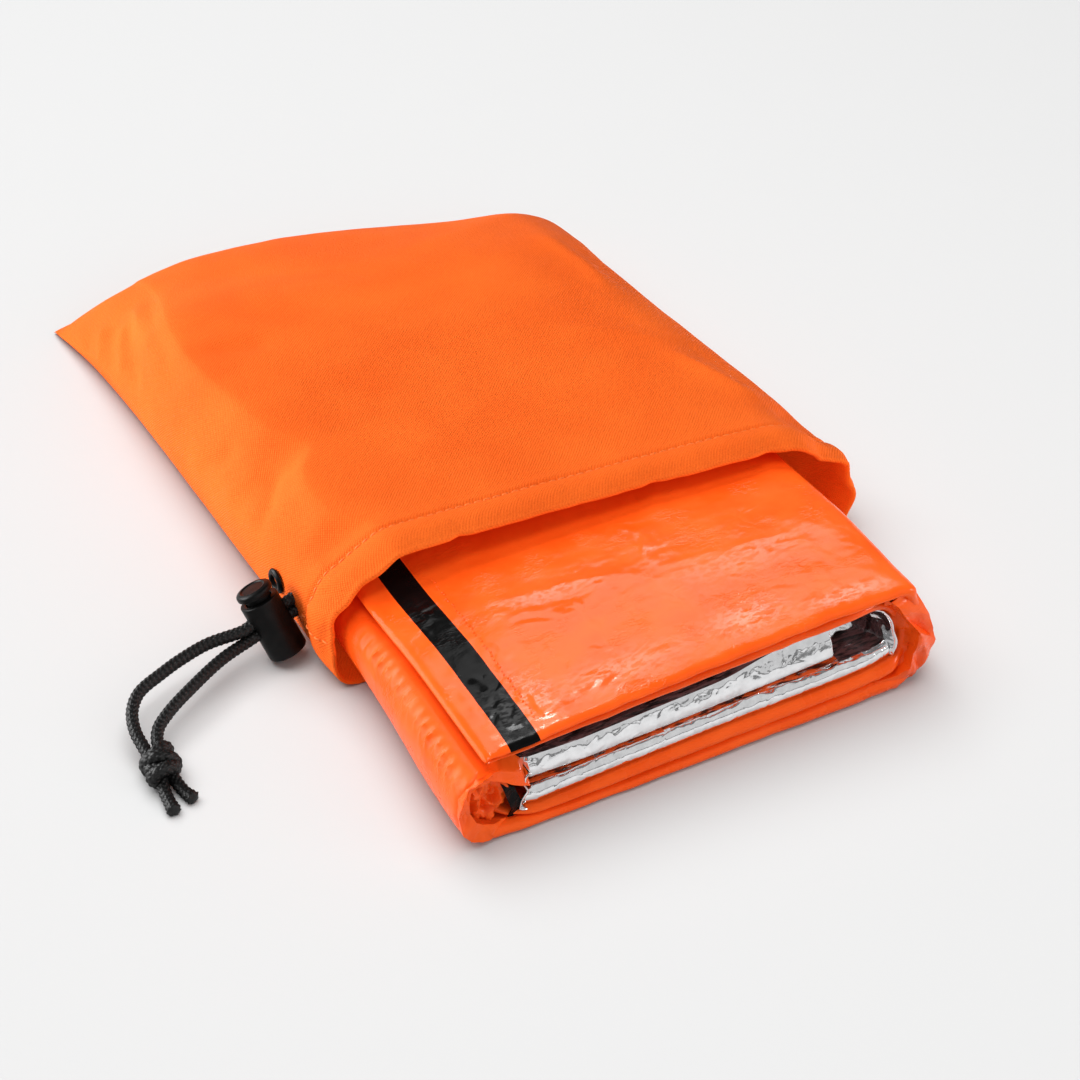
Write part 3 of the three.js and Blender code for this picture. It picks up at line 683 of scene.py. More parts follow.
def makeLock(s):
    r, b, length, pin = s["diameter"] / 2, s["bore"] / 2, s["length"], s["pin"]
    corners = [(pin, 0), (r, 0), (r, length), (b, length), (b, s["floor"]), (pin, s["floor"])]
    barrel = turnedInLock("lockBarrel", rounded(corners, [0, s["edge"], 0.45, 0.35, 0, 0]))
    cutAway(barrel, slotCutter(s, s["lowerCord"], s["upperCord"]))
    under = length + s["travel"] + s["gap"]
    top, foot = under + s["capThick"], s["floor"] + s["travel"] + s["gap"]
    c, stem = s["cap"] / 2, s["stem"] / 2
    corners = [(pin, foot), (stem, foot), (stem, under), (c, under), (c, top - 0.2), (c - 1.7, top + 0.3),
               (c - 2.1, top - 0.05), (pin, top + 0.1)]  # a raised rim round a shallow dish
    plunger = turnedInLock("lockPlunger", rounded(corners, [0, 0.3, 0.2, 0.5, 0.8, 0.3, 0.2, 0]))
    cutAway(plunger, slotCutter(s, s["lowerCord"], s["upperCord"] + s["travel"]))
    asPiece(barrel, mainBody, "black_plastic", "cord_lock_barrel")
    asPiece(plunger, plungerBody, "black_plastic", "cord_lock_plunger")
    return barrel, plunger


lockBarrel, lockPlunger = makeLock(lockSet)
print("cord lock made")

# drawcord: two braided strands from the sack through the lock and the knot to their cut ends

cordSet = {
    "diameter": 3.4, "carriers": 12, "pitch": 10.0, "relief": 0.46,
    "flare": 0.14, "splay": (4.5, 0.8), "ragged": 0.12, "endRound": 0.7,
    "lockA": (2.0, 1.37, 0.4, -0.4, -1.1, -1.45), "lockB": (1.8, 1.2, 0.4, -0.4, -1.1, -1.45),
    "routeA": [(-116.1, -9.4, 11.5), (-125, -11.6, 11.2), (-132.6, -14.4, 10.8), (-141.4, -18.4, 10),
               (-145.8, -24, 9), (-147.5, -30.4, 7.5), (-147.4, -36.4, 6.2), (-147.1, -42, 5.2),
               (-147.2, -47, 3.6), (-147.4, -50.6, 2.7), (-147.7, -55.6, 2.0), (-147.9, -60.8, 1.95)],
    "routeB": [(-114.1, -15.4, 9.4), (-126.4, -22.1, 8.9), (-136, -27.9, 8), (-141, -32, 7),
               (-143.1, -36.4, 6.1), (-143.5, -42, 5.2), (-143.4, -47, 3.6), (-143.2, -50.4, 2.7),
               (-142.4, -54.6, 2.0), (-141, -58.6, 1.95)],
}


def alongFrames(path):  # directions that turn as little as they can along a path
    tangent = np.gradient(path, axis=0)
    tangent /= np.linalg.norm(tangent, axis=1, keepdims=True)
    side = np.cross(tangent[0], (0.3, 0.2, 1.0))
    sides = []
    for t in tangent:
        side = side - (side @ t) * t
        side = side / np.linalg.norm(side)
        sides.append(side)
    sides = np.array(sides)
    return sides, np.cross(tangent, sides)


def ringsRound(path, radius, angle):  # rings about a path
    side, up = alongFrames(path)
    turned = np.cos(angle)[None, :, None] * side[:, None] + np.sin(angle)[None, :, None] * up[:, None]
    return path[:, None] + radius[..., None] * turned


def braidRadius(s, angle, run):  # two crossing families of strands, each passing over and under
    k = s["carriers"] / 2
    twist = run * 2 * math.pi / s["pitch"] * k
    a, b = angle * k + twist, angle * k - twist
    over = np.sin((a + b) / 2) * np.sin((a - b) / 2)
    first, second = np.abs(np.cos(a / 2)) ** 0.6, np.abs(np.cos(b / 2)) ** 0.6
    return s["diameter"] / 2 + s["relief"] * (np.where(over > 0, first, second) - 0.45)


def braidTube(name, path, s, closed=False, around=48):
    path = np.asarray(path, float)
    run = lengths(path)
    angle = turnOf(around)
    radius = braidRadius(s, angle[None], run[:, None])
    if not closed:
        left = run[-1] - run
        radius = radius * (1 + s["flare"] * smooth(*s["splay"], left))[:, None]  # the far end splays a little
        near = np.minimum(run, left)[:, None]  # cut ends close in a rounded, slightly ragged face
        spots = np.stack(np.broadcast_arrays(angle[None] * 2, near * 3, 0.0 * near), -1)
        ragged = s["ragged"] * ripples(spots, 1.0, 2, 5) * (near < 2.5)
        close = np.clip(near / s["endRound"], 0.04, 1)
        radius = radius * np.sqrt(np.clip(1 - (1 - close) ** 2, 0, 1)) * (1 + ragged)
    rings = ringsRound(path, radius, angle)
    rings[..., 2] = np.maximum(rings[..., 2], 0.02)  # it lies on the floor
    ends = joinFaces if closed else endFaces
    faces = gridFaces(len(path), around) + ends(len(path), around)
    made = outward(addMesh(name, toFrame(rings), faces, blackBraid))
    girth = math.pi * s["diameter"] * mm
    u = np.broadcast_to(angle[None] / (2 * math.pi) * girth, radius.shape)
    v = np.broadcast_to(run[:, None] * mm, radius.shape)
    addUv(made, u, v, np.full(radius.shape, girth))
    return made


def evenly(points, step):
    run = lengths(points)
    at = np.linspace(0, run[-1], max(2, int(round(run[-1] / step)) + 1))
    return np.stack([np.interp(at, run, points[:, k]) for k in range(3)], 1)


def cordPath(places, height, route):  # through the lock, then on along its route
    inLock = [lockPoint(lockSet, p * lockSet["diameter"] / 2, height) for p in places]
    points = np.vstack((inLock, route))
    return evenly(curveThrough(points, [24] * (len(points) - 1)), 0.3)


pathA = cordPath(cordSet["lockA"], lockSet["upperCord"], cordSet["routeA"])
pathB = cordPath(cordSet["lockB"], lockSet["lowerCord"], cordSet["routeB"])
strandA = braidTube("strandA", pathA, cordSet)
strandB = braidTube("strandB", pathB, cordSet)

knotSet = {
    "at": (-145.4, -44.4, 4.75), "heading": -6, "flatten": 0.86, "samples": 96, "swell": 0.05, "sway": 0.35,
    "turns": [{"along": 4.0, "radius": 3.4, "pitch": 14, "yaw": 20, "wide": 1.2},
              {"along": 0.2, "radius": 3.8, "pitch": -8, "yaw": -20, "wide": 1.25},
              {"along": -3.5, "radius": 3.3, "pitch": 10, "yaw": 16, "wide": 1.15},
              {"along": 0.6, "radius": 3.3, "pitch": 62, "yaw": 10, "wide": 1.05}],
}


def turnedFlat(degrees):  # a turn about the upright axis
    c, s = math.cos(math.radians(degrees)), math.sin(math.radians(degrees))
    return np.array(((c, -s, 0), (s, c, 0), (0, 0, 1)))


def turnedBack(degrees):  # a turn about the axis across
    c, s = math.cos(math.radians(degrees)), math.sin(math.radians(degrees))
    return np.array(((1, 0, 0), (0, c, -s), (0, s, c)))


def makeKnot(s):
    joined = []
    for k, turn in enumerate(s["turns"]):
        angle = np.linspace(0, 2 * math.pi, s["samples"] + 1)[:-1]
        swell = 1 + s["swell"] * np.sin(2 * angle + k)
        sway = s["sway"] * np.sin(2 * angle + k)
        loop = np.stack((turn["radius"] * np.cos(angle) * swell, sway, turn["radius"] * np.sin(angle)), 1)
        loop = loop @ turnedBack(turn["pitch"]).T @ turnedFlat(turn["yaw"]).T + (0, turn["along"], 0)
        loop = (loop @ turnedFlat(s["heading"]).T) * (1, 1, s["flatten"]) + s["at"]
        thick = dict(cordSet, diameter=cordSet["diameter"] * turn["wide"])
        joined.append(braidTube(f"knotTurn{k}", loop, thick, closed=True))
    with bpy.context.temp_override(active_object=joined[0], selected_editable_objects=joined):
        bpy.ops.object.join()
    joined[0].name = "cordKnot"
    points = np.array([v.co for v in joined[0].data.vertices])
    points[:, 2] = np.maximum(points[:, 2], 0.0002)  # it lies on the floor too
    joined[0].data.vertices.foreach_set("co", points.ravel())
    return joined[0]


cordKnot = makeKnot(knotSet)
asPiece(strandA, mainBody, "black_braid", "cord_strand_a", "cord_tail_a")
asPiece(strandB, mainBody, "black_braid", "cord_strand_b", "cord_tail_b")
asPiece(cordKnot, mainBody, "black_braid", "cord_knot")


def lengthOf(path):
    return float(np.linalg.norm(np.diff(path, axis=0), axis=1).sum()) * mm


print("cords made, mm:", round(lengthOf(pathA) / mm), round(lengthOf(pathB) / mm))

# sack: sections from the mouth to the closed end, the same values as the solid's

sackRows = {
    "yLeft": (-28.6, -22, -12.5, 22, 70, 112, 146, 166, 173, 176),
    "yRight": (-41.4, -35, -25, 8, 55, 96, 131, 151, 158, 161),
    "xLeft": (-87, -87.6, -87.2, -89.4, -90.8, -92.2, -94.2, -96.4, -97.3, -97.5),
    "xRight": (88.8, 89.8, 88.4, 85.8, 81.4, 79.2, 80, 79.6, 78.6, 77.5),
    "seam": (13, 13, 13, 12.5, 11, 9, 6, 3.2, 2.1, 1.4),
    "wallLeft": (25, 25.2, 24.6, 23, 20.5, 16, 9.5, 5, 3, 1.9),
    "crownLeft": (41.5, 42.2, 41.3, 40.6, 39.8, 38.2, 31, 25, 19, 8.6),
    "crownRight": (41.5, 42.2, 41.3, 40.6, 39.4, 36.4, 27, 16, 10, 4),
    "wallRight": (29.5, 30, 29.2, 28, 26.5, 24, 18.5, 10, 5.4, 2.6),
    "ply": (1.8, 2.2, 1.5, 1.2, 1.2, 1.2, 1.2, 1.2, 1.2, 1.2),
    "ease": (0, 0, 0, 0, 0, 0.15, 0.55, 1, 1.6, 1.6),
    "lean": (5, 2.5, 0, 0, 0, 0, 0, 0, 0, 0),
}
# side and inset of each point round a section, its two levels, its share between them at the mouth
# and at the closed end, the way the inside lies, and the samples up to the next point
sackSection = [
    ("left", 0, "seam", "seam", 0, 0, 1, 0, 7),
    ("left", 1, "wallLeft", "wallLeft", 0, 0, 0.9, -0.5, 12),
    ("left", "slope", "wallLeft", "crownLeft", 0.55, 0.48, 0.5, -0.9, 13),
    ("left", "shoulder", "wallLeft", "crownLeft", 0.935, 0.74, 0.2, -1, 5),
    ("left", "brow", "wallLeft", "crownLeft", 0.99, 0.8, 0.1, -1, 15),
    ("left", 46, "wallLeft", "crownLeft", 1.0, 0.96, 0, -1, 20),
    ("left", 88, "crownLeft", "crownRight", 0.42, 0.22, 0, -1, 30),
    ("right", 34, "wallRight", "crownRight", 1, 1, 0, -1, 13),
    ("right", 16, "wallRight", "crownRight", 0.8, 0.8, -0.3, -1, 12),
    ("right", 4, "wallRight", "wallRight", 0, 0, -0.8, -0.6, 11),
    ("right", 0, "seam", "seam", 0, 0, -1, 0, 6),
    ("right", 2.4, "floor", "seam", 0.24, 0.24, -0.8, 0.6, 4),
    ("right", 8, "floor", "floor", 0, 0, -0.2, 1, 10),
    ("left", 88, "floor", "floor", 0, 0, 0, 1, 10),
    ("left", 8, "floor", "floor", 0, 0, 0.2, 1, 4),
    ("left", 2.4, "floor", "seam", 0.24, 0.24, 0.8, 0.6, 6),
]
# where the flat top breaks off to the left slope: place behind the mouth and inset from the left edge
browLine = {
    "y": (-28.6, -12.5, -2, 12, 21, 31, 46, 70, 93, 112, 146, 176),
    "inset": (25, 24, 17, 17.5, 20.5, 26.5, 19.5, 16, 14, 16, 25, 29),
    "shoulder": 2.4, "slope": 0.47,
}
sackSet = {"slant": 1.6, "wall": 1.2, "hem": 11.0, "lipRadius": 1.5, "closing": 1.6, "rumple": 1.9,
           "flat": (0.425, 0.225)}
# rows of the two faces, from, to and step: close together at the hem and the closed end
sackSpans = {
    "outside": ((-28.6, -11, 0.8), (-10.5, 100, 1.9), (101, 166, 1.6), (166.5, 176, 0.9)),
    "closed": (176, 176.5, 176.9, 177.3, 177.55),
    "inside": ((-28.6, -4, 1.6), (-2, 60, 6.0), (64, 172, 14.0)),
}
# heights of the cloth's relief: broad and fine waves, the casing with its waves and puckers, puckers behind
# the seam, crumples by the right corner; then the seam's groove, and the corner where the casing is flat
clothSet = {
    "broad": 0.75, "fine": 0.22, "casing": 0.8, "wave": 0.7, "pucker": 0.3,
    "behindSeam": 0.45, "crumple": 0.4,
    "groove": 0.9, "grooveWide": 0.85, "corner": (85, 31), "cornerWide": (8, 7), "flatter": 1.2,
}
# kinks of the mouth's edge: place, depth and width
lipKinks = ((-43, -1.1, 2.2), (-68, 0.7, 5), (20, -0.9, 2.6), (59, -1.3, 3.0), (72, 0.9, 4.0))
# creases of the sack's cloth: how high they stand, how far they spread and where they run
sackFolds = [
    foldAlong(2.4, 3.4, (-76, 150, 21), (-78.4, 142, 24), (-82, 116, 27), (-84, 94, 27)),
    foldAlong(-1.3, 2.6, (-79, 145, 22), (-88, 121, 20), (-91, 108, 16)),
    foldAlong(1.1, 1.6, (-82.7, 144.7, 21), (-87, 134, 18), (-91.5, 123.6, 14.5)),
    foldAlong(-0.7, 2.0, (-85, 150, 18), (-93, 131, 11)),
    foldAlong(0.9, 1.5, (-87.2, 154.3, 15.4), (-93.5, 140.3, 9.3)),
    foldAlong(-0.5, 1.8, (-90, 160, 12), (-95, 150, 7)),
    foldAlong(-1.9, 4.0, (-85, 96, 26), (-73.5, 92, 33.8), (-62, 89.5, 36.8), (-48, 86, 38)),
    foldAlong(0.8, 2.2, (-84.4, 93, 26.7), (-78, 73, 33), (-73.3, 48, 35.6), (-64, 31, 38.2), ease=0.12),
    foldAlong(0.8, 2.2, (-64, 31, 38.2), (-70, 20, 37), (-72.4, 11.9, 36.3), (-73, -1.3, 36),
              (-64, -11, 38.7), ease=0.12),
    foldAlong(-1.4, 3.0, (-88, 16.7, 22), (-83, 19.3, 29.6), (-79.7, 24.5, 32.4), (-74, 32, 35)),
    foldAlong(0.8, 3.2, (-89, 40, 20), (-84, 36, 29), (-77, 38, 34)),
    foldAlong(-1.0, 3.2, (-90, 62, 18), (-86, 52, 27), (-80, 48, 33)),
    foldAlong(1.2, 2.6, (57, 114, 31.6), (60, 81, 36.3), (60.3, 63, 38)),
    foldAlong(-1.0, 3.0, (64, 106, 30), (67, 80, 33), (67, 60, 35)),
    foldAlong(1.2, 2.6, (56.7, 25.5, 40), (65.8, 2.9, 39.6), (73, -13.8, 37.8)),
    foldAlong(-1.0, 3.0, (64, 30, 38), (72, 8, 37), (78, -8, 34)),
    foldAlong(0.6, 3.4, (30, 48, 40), (48, 40, 40), (62, 26, 39)),
    foldAlong(0.7, 7.0, (70, 140, 20), (40, 128, 31), (8, 120, 36)),
    foldAlong(-0.9, 9.0, (-60, 150, 28), (-30, 128, 35), (0, 108, 38)),
]
# creases that reach the mouth's edge
hemFolds = [
    foldAlong(1.5, 2.4, (86.4, -46, 29.0), (85.4, -24, 29.4), ease=0.8, toEdge=True),
    foldAlong(-1.8, 4.4, (83.6, -38, 33.4), (82.6, -24, 34.0), (79, -10, 35), ease=0.3),
    foldAlong(-0.5, 3.0, (90.6, -46, 22.6), (89.6, -26, 22.6), (87, -10, 22.6), ease=0.6, toEdge=True),
    foldAlong(2.2, 3.0, (91.4, -46, 16.2), (90, -25, 15.2), (88, -8, 13.5), ease=0.6, toEdge=True),
    foldAlong(-1.4, 3.0, (88.6, -46, 6.4), (88, -28, 6.4), (86, -14, 6.4), ease=0.6, toEdge=True),
    foldAlong(-2.6, 5.0, (78.6, -46, 36.0), (77.2, -26, 36.4), (73, -8, 37.4), ease=0.6, toEdge=True),
    foldAlong(0.5, 2.6, (69, -46, 39.6), (65, -30, 40.6), (60, -18, 41), ease=0.6, toEdge=True),
    foldAlong(-1.4, 1.8, (-87, -34, 27), (-88, -30, 18), (-87, -31, 9)),
    foldAlong(-1.2, 2.2, (-79, -36, 33), (-84, -24, 29), (-88, -14, 22), toEdge=True),
    foldAlong(1.0, 2.4, (-72, -36, 37), (-79, -22, 34), (-84, -8, 29), toEdge=True),
]


def sackControls(level, inside):
    out = []
    for side, inset, low, high, near, far, inX, inZ, _ in sackSection:
        inset = level.get(inset, inset)
        x = level["xLeft"] + inset if side == "left" else level["xRight"] - inset
        z = mix(level[low], level[high], mix(near, far, level["ease"]))
        ply = inside * (min(level["ply"], sackSet["wall"]) if inZ > 0 else level["ply"])
        out.append((x + inX * ply, z + inZ * ply))
    return np.array(out)


def sackRings(stations, inside):  # a ring for each station behind the lip, outside or inside face
    rings = []
    counts = [s[-1] for s in sackSection]
    places = sackRows["yLeft"]
    end = places[-1]
    for y in stations:
        level = {key: float(monotone(places, values, min(y, end))) for key, values in sackRows.items()}
        level["floor"] = 0.0
        level["brow"] = float(monotone(browLine["y"], browLine["inset"], min(y, end)))
        level["shoulder"] = level["brow"] - browLine["shoulder"]
        level["slope"] = browLine["slope"] * level["brow"]
        past = np.clip((y - end) / sackSet["closing"], 0, 1)  # the closed fold rounds off
        shrink = math.sqrt(max(0.0, 1 - past ** 2)) * 0.9 + 0.1
        for key in ("seam", "wallLeft", "wallRight", "crownLeft", "crownRight"):
            level[key] *= shrink
        xz = curveThrough(sackControls(level, inside), counts, closed=True)
        across = np.clip((xz[:, 0] - level["xLeft"]) / (level["xRight"] - level["xLeft"]), 0, 1)
        lean = level["lean"] * (1 - across) * (1 - xz[:, 1] / level["crownLeft"])
        back = mix(level["yLeft"], level["yRight"], across ** sackSet["slant"]) - lean + max(0.0, y - end)
        low = min(level["ply"], sackSet["wall"]) * inside
        rings.append(np.stack((xz[:, 0], back, np.maximum(low, xz[:, 1])), 1))
    return np.array(rings)


def sackRelief(p, behindLip):  # cloth relief in millimetres, along the outward direction
    x, z = p[..., 0], p[..., 2]
    h = np.broadcast_to(behindLip[:, None], p.shape[:-1])
    hem, s = sackSet["hem"], clothSet
    soft = s["broad"] * ripples(p * (1, 0.8, 1), 46.0, 3, 11) + s["fine"] * ripples(p, 13.0, 2, 17)
    lift = soft * smooth(4, 26, h) * (1 - 0.35 * smooth(60, 30, np.abs(x)))  # flatter along the middle
    lift += foldLift(p, sackFolds) * smooth(6, 16, h)
    corner = np.exp(-((x - s["corner"][0]) / s["cornerWide"][0]) ** 2
                    - ((z - s["corner"][1]) / s["cornerWide"][1]) ** 2)
    casing = np.sin(np.pi * np.clip(h / hem, 0, 1)) ** 0.7 * (1 - s["flatter"] * corner)
    pucker = ripples(p * (1, 0.25, 1), 7.0, 2, 23)
    wave = ripples(p * (1, 0.5, 1), 18.0, 2, 29)
    lift += casing * (s["casing"] + s["wave"] * wave + s["pucker"] * pucker)
    lift -= s["groove"] * np.exp(-((h - hem) / s["grooveWide"]) ** 2)
    lift += foldLift(p, hemFolds) * smooth(42, 24, h)
    lift += s["crumple"] * facets(p * (1, 0.6, 1), 9.0, 2, 31) * smooth(66, 84, x) * np.exp(-h / 16.0)
    lift += s["behindSeam"] * pucker * np.exp(-np.maximum(0, h - hem) / 7.0) * smooth(hem, hem + 2, h)
    return lift * smooth(2.5, 9.0, z)  # none where the sack lies on the floor


def lipWander(p):  # how far the mouth's edge strays towards the front
    x = p[..., 0]
    across = np.stack((x, 0 * x, 0 * x), -1)
    stray = 0.9 * ripples(across, 22.0, 2, 41) + 0.4 * ripples(across, 6.0, 1, 43)
    for kink, depth, wide in lipKinks:
        stray = stray + depth * np.exp(-((x - kink) / wide) ** 2)
    return stray * smooth(3, 14, p[..., 2])


def sackInner(stations, lip, moved):  # inside face, which follows the lip and is rumpled in the mouth
    back = sackRings(stations, 1.0)
    deep = stations - lip
    back = back + moved[None] * np.exp(-deep / 14.0)[:, None, None]
    ends = smooth(44, 70, np.abs(back[..., 0])) * smooth(3, 9, back[..., 2]) * smooth(0, 9, deep)[:, None]
    rumple = 1.0 + sackSet["rumple"] * facets(back * (1, 0.7, 1), 9.0, 2, 47)
    back[..., 0] -= np.sign(back[..., 0]) * np.maximum(0, rumple) * ends
    return back


def rolledEdge(a, b):  # from the outside face to the inside face round the lip
    forward = np.array((0.0, -1.0, 0.0)) * sackSet["lipRadius"]
    turns = np.linspace(0, math.pi, 9)[1:-1]
    return [(a + b) / 2 + (a - b) / 2 * math.cos(t) * 1.06 + forward * math.sin(t) for t in turns]


def sackUv(sack, rings):
    spans = np.linalg.norm(np.diff(rings, axis=1, append=rings[:, :1]), axis=2)
    u = (np.cumsum(spans, 1) - spans) * mm
    runs = np.linalg.norm(np.diff(rings, axis=0, prepend=rings[:1]), axis=2).mean(1)
    v = np.broadcast_to((np.cumsum(runs) * mm)[:, None], u.shape)
    addUv(sack, u, v, np.broadcast_to(spans.sum(1)[:, None] * mm, u.shape))


def makeSack():
    lip = sackRows["yLeft"][0]
    outer = np.concatenate([np.arange(*span) for span in sackSpans["outside"]] + [sackSpans["closed"]])
    inner = np.concatenate([np.arange(*span) for span in sackSpans["inside"]])
    front = sackRings(outer, 0.0)
    behind = outer - lip
    normal = gridNormals(front)
    if ((front - front.mean(axis=(0, 1))) * normal).sum() < 0:
        normal = -normal
    shaped = front + normal * sackRelief(front, behind)[..., None]
    shaped[..., 1] -= lipWander(front) * np.exp(-behind / 5.0)[:, None]
    back = sackInner(inner, lip, shaped[0] - front[0])
    roll = rolledEdge(shaped[0], back[0])
    rings = np.concatenate((shaped[::-1], roll, back))
    rings[..., 2] = np.maximum(rings[..., 2], 0.0)
    count = rings.shape[1]
    faces = gridFaces(len(rings), count) + endFaces(len(rings), count)
    sack = outward(addMesh("sack", toFrame(rings), faces, sackCloth))
    sack.data.materials.append(sackInside)
    inside = (np.arange(len(faces)) // count >= len(shaped) + len(roll) // 2).astype(np.int32)
    inside[-2] = 0  # the closed end
    sack.data.polygons.foreach_set("material_index", inside)
    sackUv(sack, rings)
    return asPiece(sack, mainBody, "sack_cloth", "sack_body"), shaped, normal, behind


sack, sackFront, sackNormal, sackBehind = makeSack()
print("sack:", len(sack.data.polygons), "faces")

# stitching of the hem and the side seam

# a stitch, where a run starts, and how far the side seam is stitched from the mouth
stitchSet = {"length": 2.5, "gap": 0.55, "thick": 0.34, "start": 0.3, "sideRun": 19, "sideColumn": 2}


def capsule(points, radius, around=7):  # one short stitch that dips into the cloth at its ends
    swell = np.sqrt(np.clip(1 - np.linspace(-0.97, 0.97, len(points)) ** 4, 0.03, 1)) * radius
    rings = ringsRound(points, swell[:, None], turnOf(around))
    return rings, gridFaces(len(points), around) + endFaces(len(points), around), 0


def runOfStitches(name, line, normals, s):
    run = lengths(line)
    at, stitches = s["start"], []
    while at + s["length"] < run[-1]:
        t = np.linspace(0, 1, 6)
        where = at + t * s["length"]
        p, n = (np.stack([np.interp(where, run, q[:, k]) for k in range(3)], 1) for q in (line, normals))
        p = p + n * (s["thick"] * (np.sin(np.pi * t) * 0.9 - 0.25))[:, None]
        stitches.append(capsule(p, s["thick"]))
        at += s["length"] + s["gap"]
    points, faces, _ = joinShells(stitches)
    made = outward(addMesh(name, toFrame(points), faces, orangeThread))
    return asPiece(made, mainBody, "sack_cloth")


def hemStitches():
    row = int(np.argmin(np.abs(sackBehind - sackSet["hem"])))
    upper = sum(s[-1] for s in sackSection[:10]) + 1  # from the left seam over the top to the right seam
    return runOfStitches("hemStitches", sackFront[row, :upper], sackNormal[row, :upper], stitchSet)


def sideStitches():
    rows = int(np.argmin(np.abs(sackBehind - stitchSet["sideRun"])))
    column = stitchSet["sideColumn"]
    return runOfStitches("sideStitches", sackFront[:rows, column], sackNormal[:rows, column], stitchSet)


sackThreads = [hemStitches(), sideStitches()]
print("stitches made")

# eyelet on the sack's left side

eyeletSet = {"outer": 8.2, "hole": 3.8, "thick": 1.2, "at": (-89.3, 1.6, 17.0), "tilt": 4}


def makeEyelet(s):
    rim, hole, half = s["outer"] / 2, s["hole"] / 2, s["thick"] / 2
    corners = [(hole, -half), (rim, -half), (rim, -half / 3),
               (rim - 0.7, half), (hole + 0.5, half), (hole, -half)]
    flat = rounded(corners, [0, 0.15, 0.3, 0.4, 0.5, 0])[:-1]
    segments, tilt = 56, math.radians(s["tilt"])
    face = np.array((-math.cos(tilt), -math.sin(tilt), 0.0))
    side, up = np.array((math.sin(tilt), -math.cos(tilt), 0.0)), np.array((0.0, 0.0, 1.0))
    points = []
    for r, h in flat:
        for a in turnOf(segments):
            points.append(np.array(s["at"]) + face * h + r * (math.cos(a) * side + math.sin(a) * up))
    faces = gridFaces(len(flat), segments) + joinFaces(len(flat), segments)
    made = outward(addMesh("sackEyelet", toFrame(points), faces, blackPlastic, 45))
    return asPiece(made, mainBody, "black_plastic", "eyelet")


eyelet = makeEyelet(eyeletSet)

# sleeping bag film: its folded section in X and Z, each bend with the ply's half thickness, how far its
# front edge stands back, how loosely the film lies there, and the samples up to the next bend

filmRows = [
    (-62.6, 17.8, 1.0, 3.6, 0.3, 4), (-67.5, 21.4, 1.4, 2.4, 0.4, 6), (-73.5, 24.6, 1.6, 1.0, 0.4, 7),
    (-78.6, 23.9, 1.8, 0.6, 0.35, 8), (-81.7, 19.2, 1.9, 0.6, 0.35, 8), (-81.9, 12.2, 2.0, 0.6, 0.35, 6),
    (-79.2, 6.2, 2.2, 0.6, 0.35, 6), (-73.5, 2.7, 2.4, 0.3, 0.25, 5),
    (-62, 1.75, 1.75, 0, 0.16, 14), (0, 2.0, 2.0, 0, 0.16, 13), (55, 2.75, 2.75, 0, 0.2, 4),
    (64.6, 3.4, 2.7, 0.2, 0.4, 4), (67.6, 4.8, 3.1, 0.3, 0.45, 3), (69.2, 7.2, 2.6, 0.4, 0.5, 6),
    (71.0, 14.0, 2.6, 0.7, 0.55, 3), (71.4, 16.6, 3.1, 0.8, 0.55, 3), (70.7, 19.2, 2.5, 0.9, 0.6, 11),
    (65.4, 33.0, 1.9, 1.5, 0.5, 3), (64.2, 35.3, 2.3, 1.6, 0.4, 3), (61.6, 36.7, 1.6, 1.8, 0.35, 12),
    (48, 37.3, 1.4, 2.0, 0.26, 22), (25, 36.9, 1.3, 2.0, 0.24, 24), (0, 35.8, 1.2, 1.8, 0.22, 36),
    (-40, 34.0, 0.9, 1.4, 0.2, 17), (-57.5, 32.78, 0.78, 1.2, 0.18, 9), (-66.6, 32.14, 0.7, 1.1, 0.16, 4),
    (-70, 31.9, 0.65, 1.0, 0.14, 4), (-73.6, 31.5, 0.62, 1.0, 0.1, 3), (-74.3, 30.9, 0.62, 1.0, 0.1, 3),
    (-73.6, 30.3, 0.62, 1.0, 0.1, 3),
    (-70, 29.7, 0.7, 1.6, 0.08, 8), (-40, 30.0, 1.2, 2.4, 0.12, 9), (0, 31.2, 1.4, 2.8, 0.14, 7),
    (25, 32.0, 1.55, 3.0, 0.16, 6), (48, 32.3, 1.6, 3.0, 0.2, 4),
    (57.0, 31.2, 1.6, 2.4, 0.3, 4), (60.6, 28.2, 1.6, 2.2, 0.35, 5), (64.8, 20.2, 2.2, 1.6, 0.4, 4),
    (65.4, 16.0, 2.3, 1.4, 0.4, 3), (64.2, 11.8, 2.2, 1.1, 0.3, 3), (60.6, 9.2, 2.2, 0.9, 0.25, 3),
    (55, 8.1, 2.25, 0.5, 0.16, 13), (0, 6.65, 2.35, 0.5, 0.16, 11), (-40, 5.5, 1.75, 0.6, 0.2, 5),
    (-57, 4.75, 1.05, 0.9, 0.3, 4), (-64, 5.4, 1.1, 2.6, 0.4, 4), (-70, 7.6, 1.4, 4.0, 0.5, 4),
    (-75.0, 11.6, 1.7, 4.4, 0.5, 4), (-76.8, 16.4, 1.7, 4.6, 0.5, 4), (-74.0, 19.7, 1.6, 4.6, 0.5, 4),
    (-70.5, 18.0, 1.5, 4.6, 0.5, 4), (-70.4, 14.6, 1.4, 4.6, 0.4, 3), (-72.5, 14.1, 0.9, 4.6, 0.3, 1),
]
# places along the rows: top of the flap, black stripe and ply below, and how far the flap's edge sags
flapSet = {"from": 19, "to": 26.6, "stripe": (24, 25), "under": (30, 34), "sag": 0.8}
# hidden is where the sack covers it, core the row where the roll's crumpled core starts
bagSet = {"front": -111.5, "length": 192.0, "rounding": 2.6, "hidden": -24.0, "core": 46,
          "turnRows": 8, "seenRows": 95, "hiddenRows": (-18, -6, 20, 50)}
# heights of the film's relief: broad waves, creases, small crumples, long folds, crinkles, tiny facets
filmSet = {"broad": 0.55, "creases": 0.6, "small": 0.5, "folds": 0.5, "patches": 1.5, "tiny": 0.15}
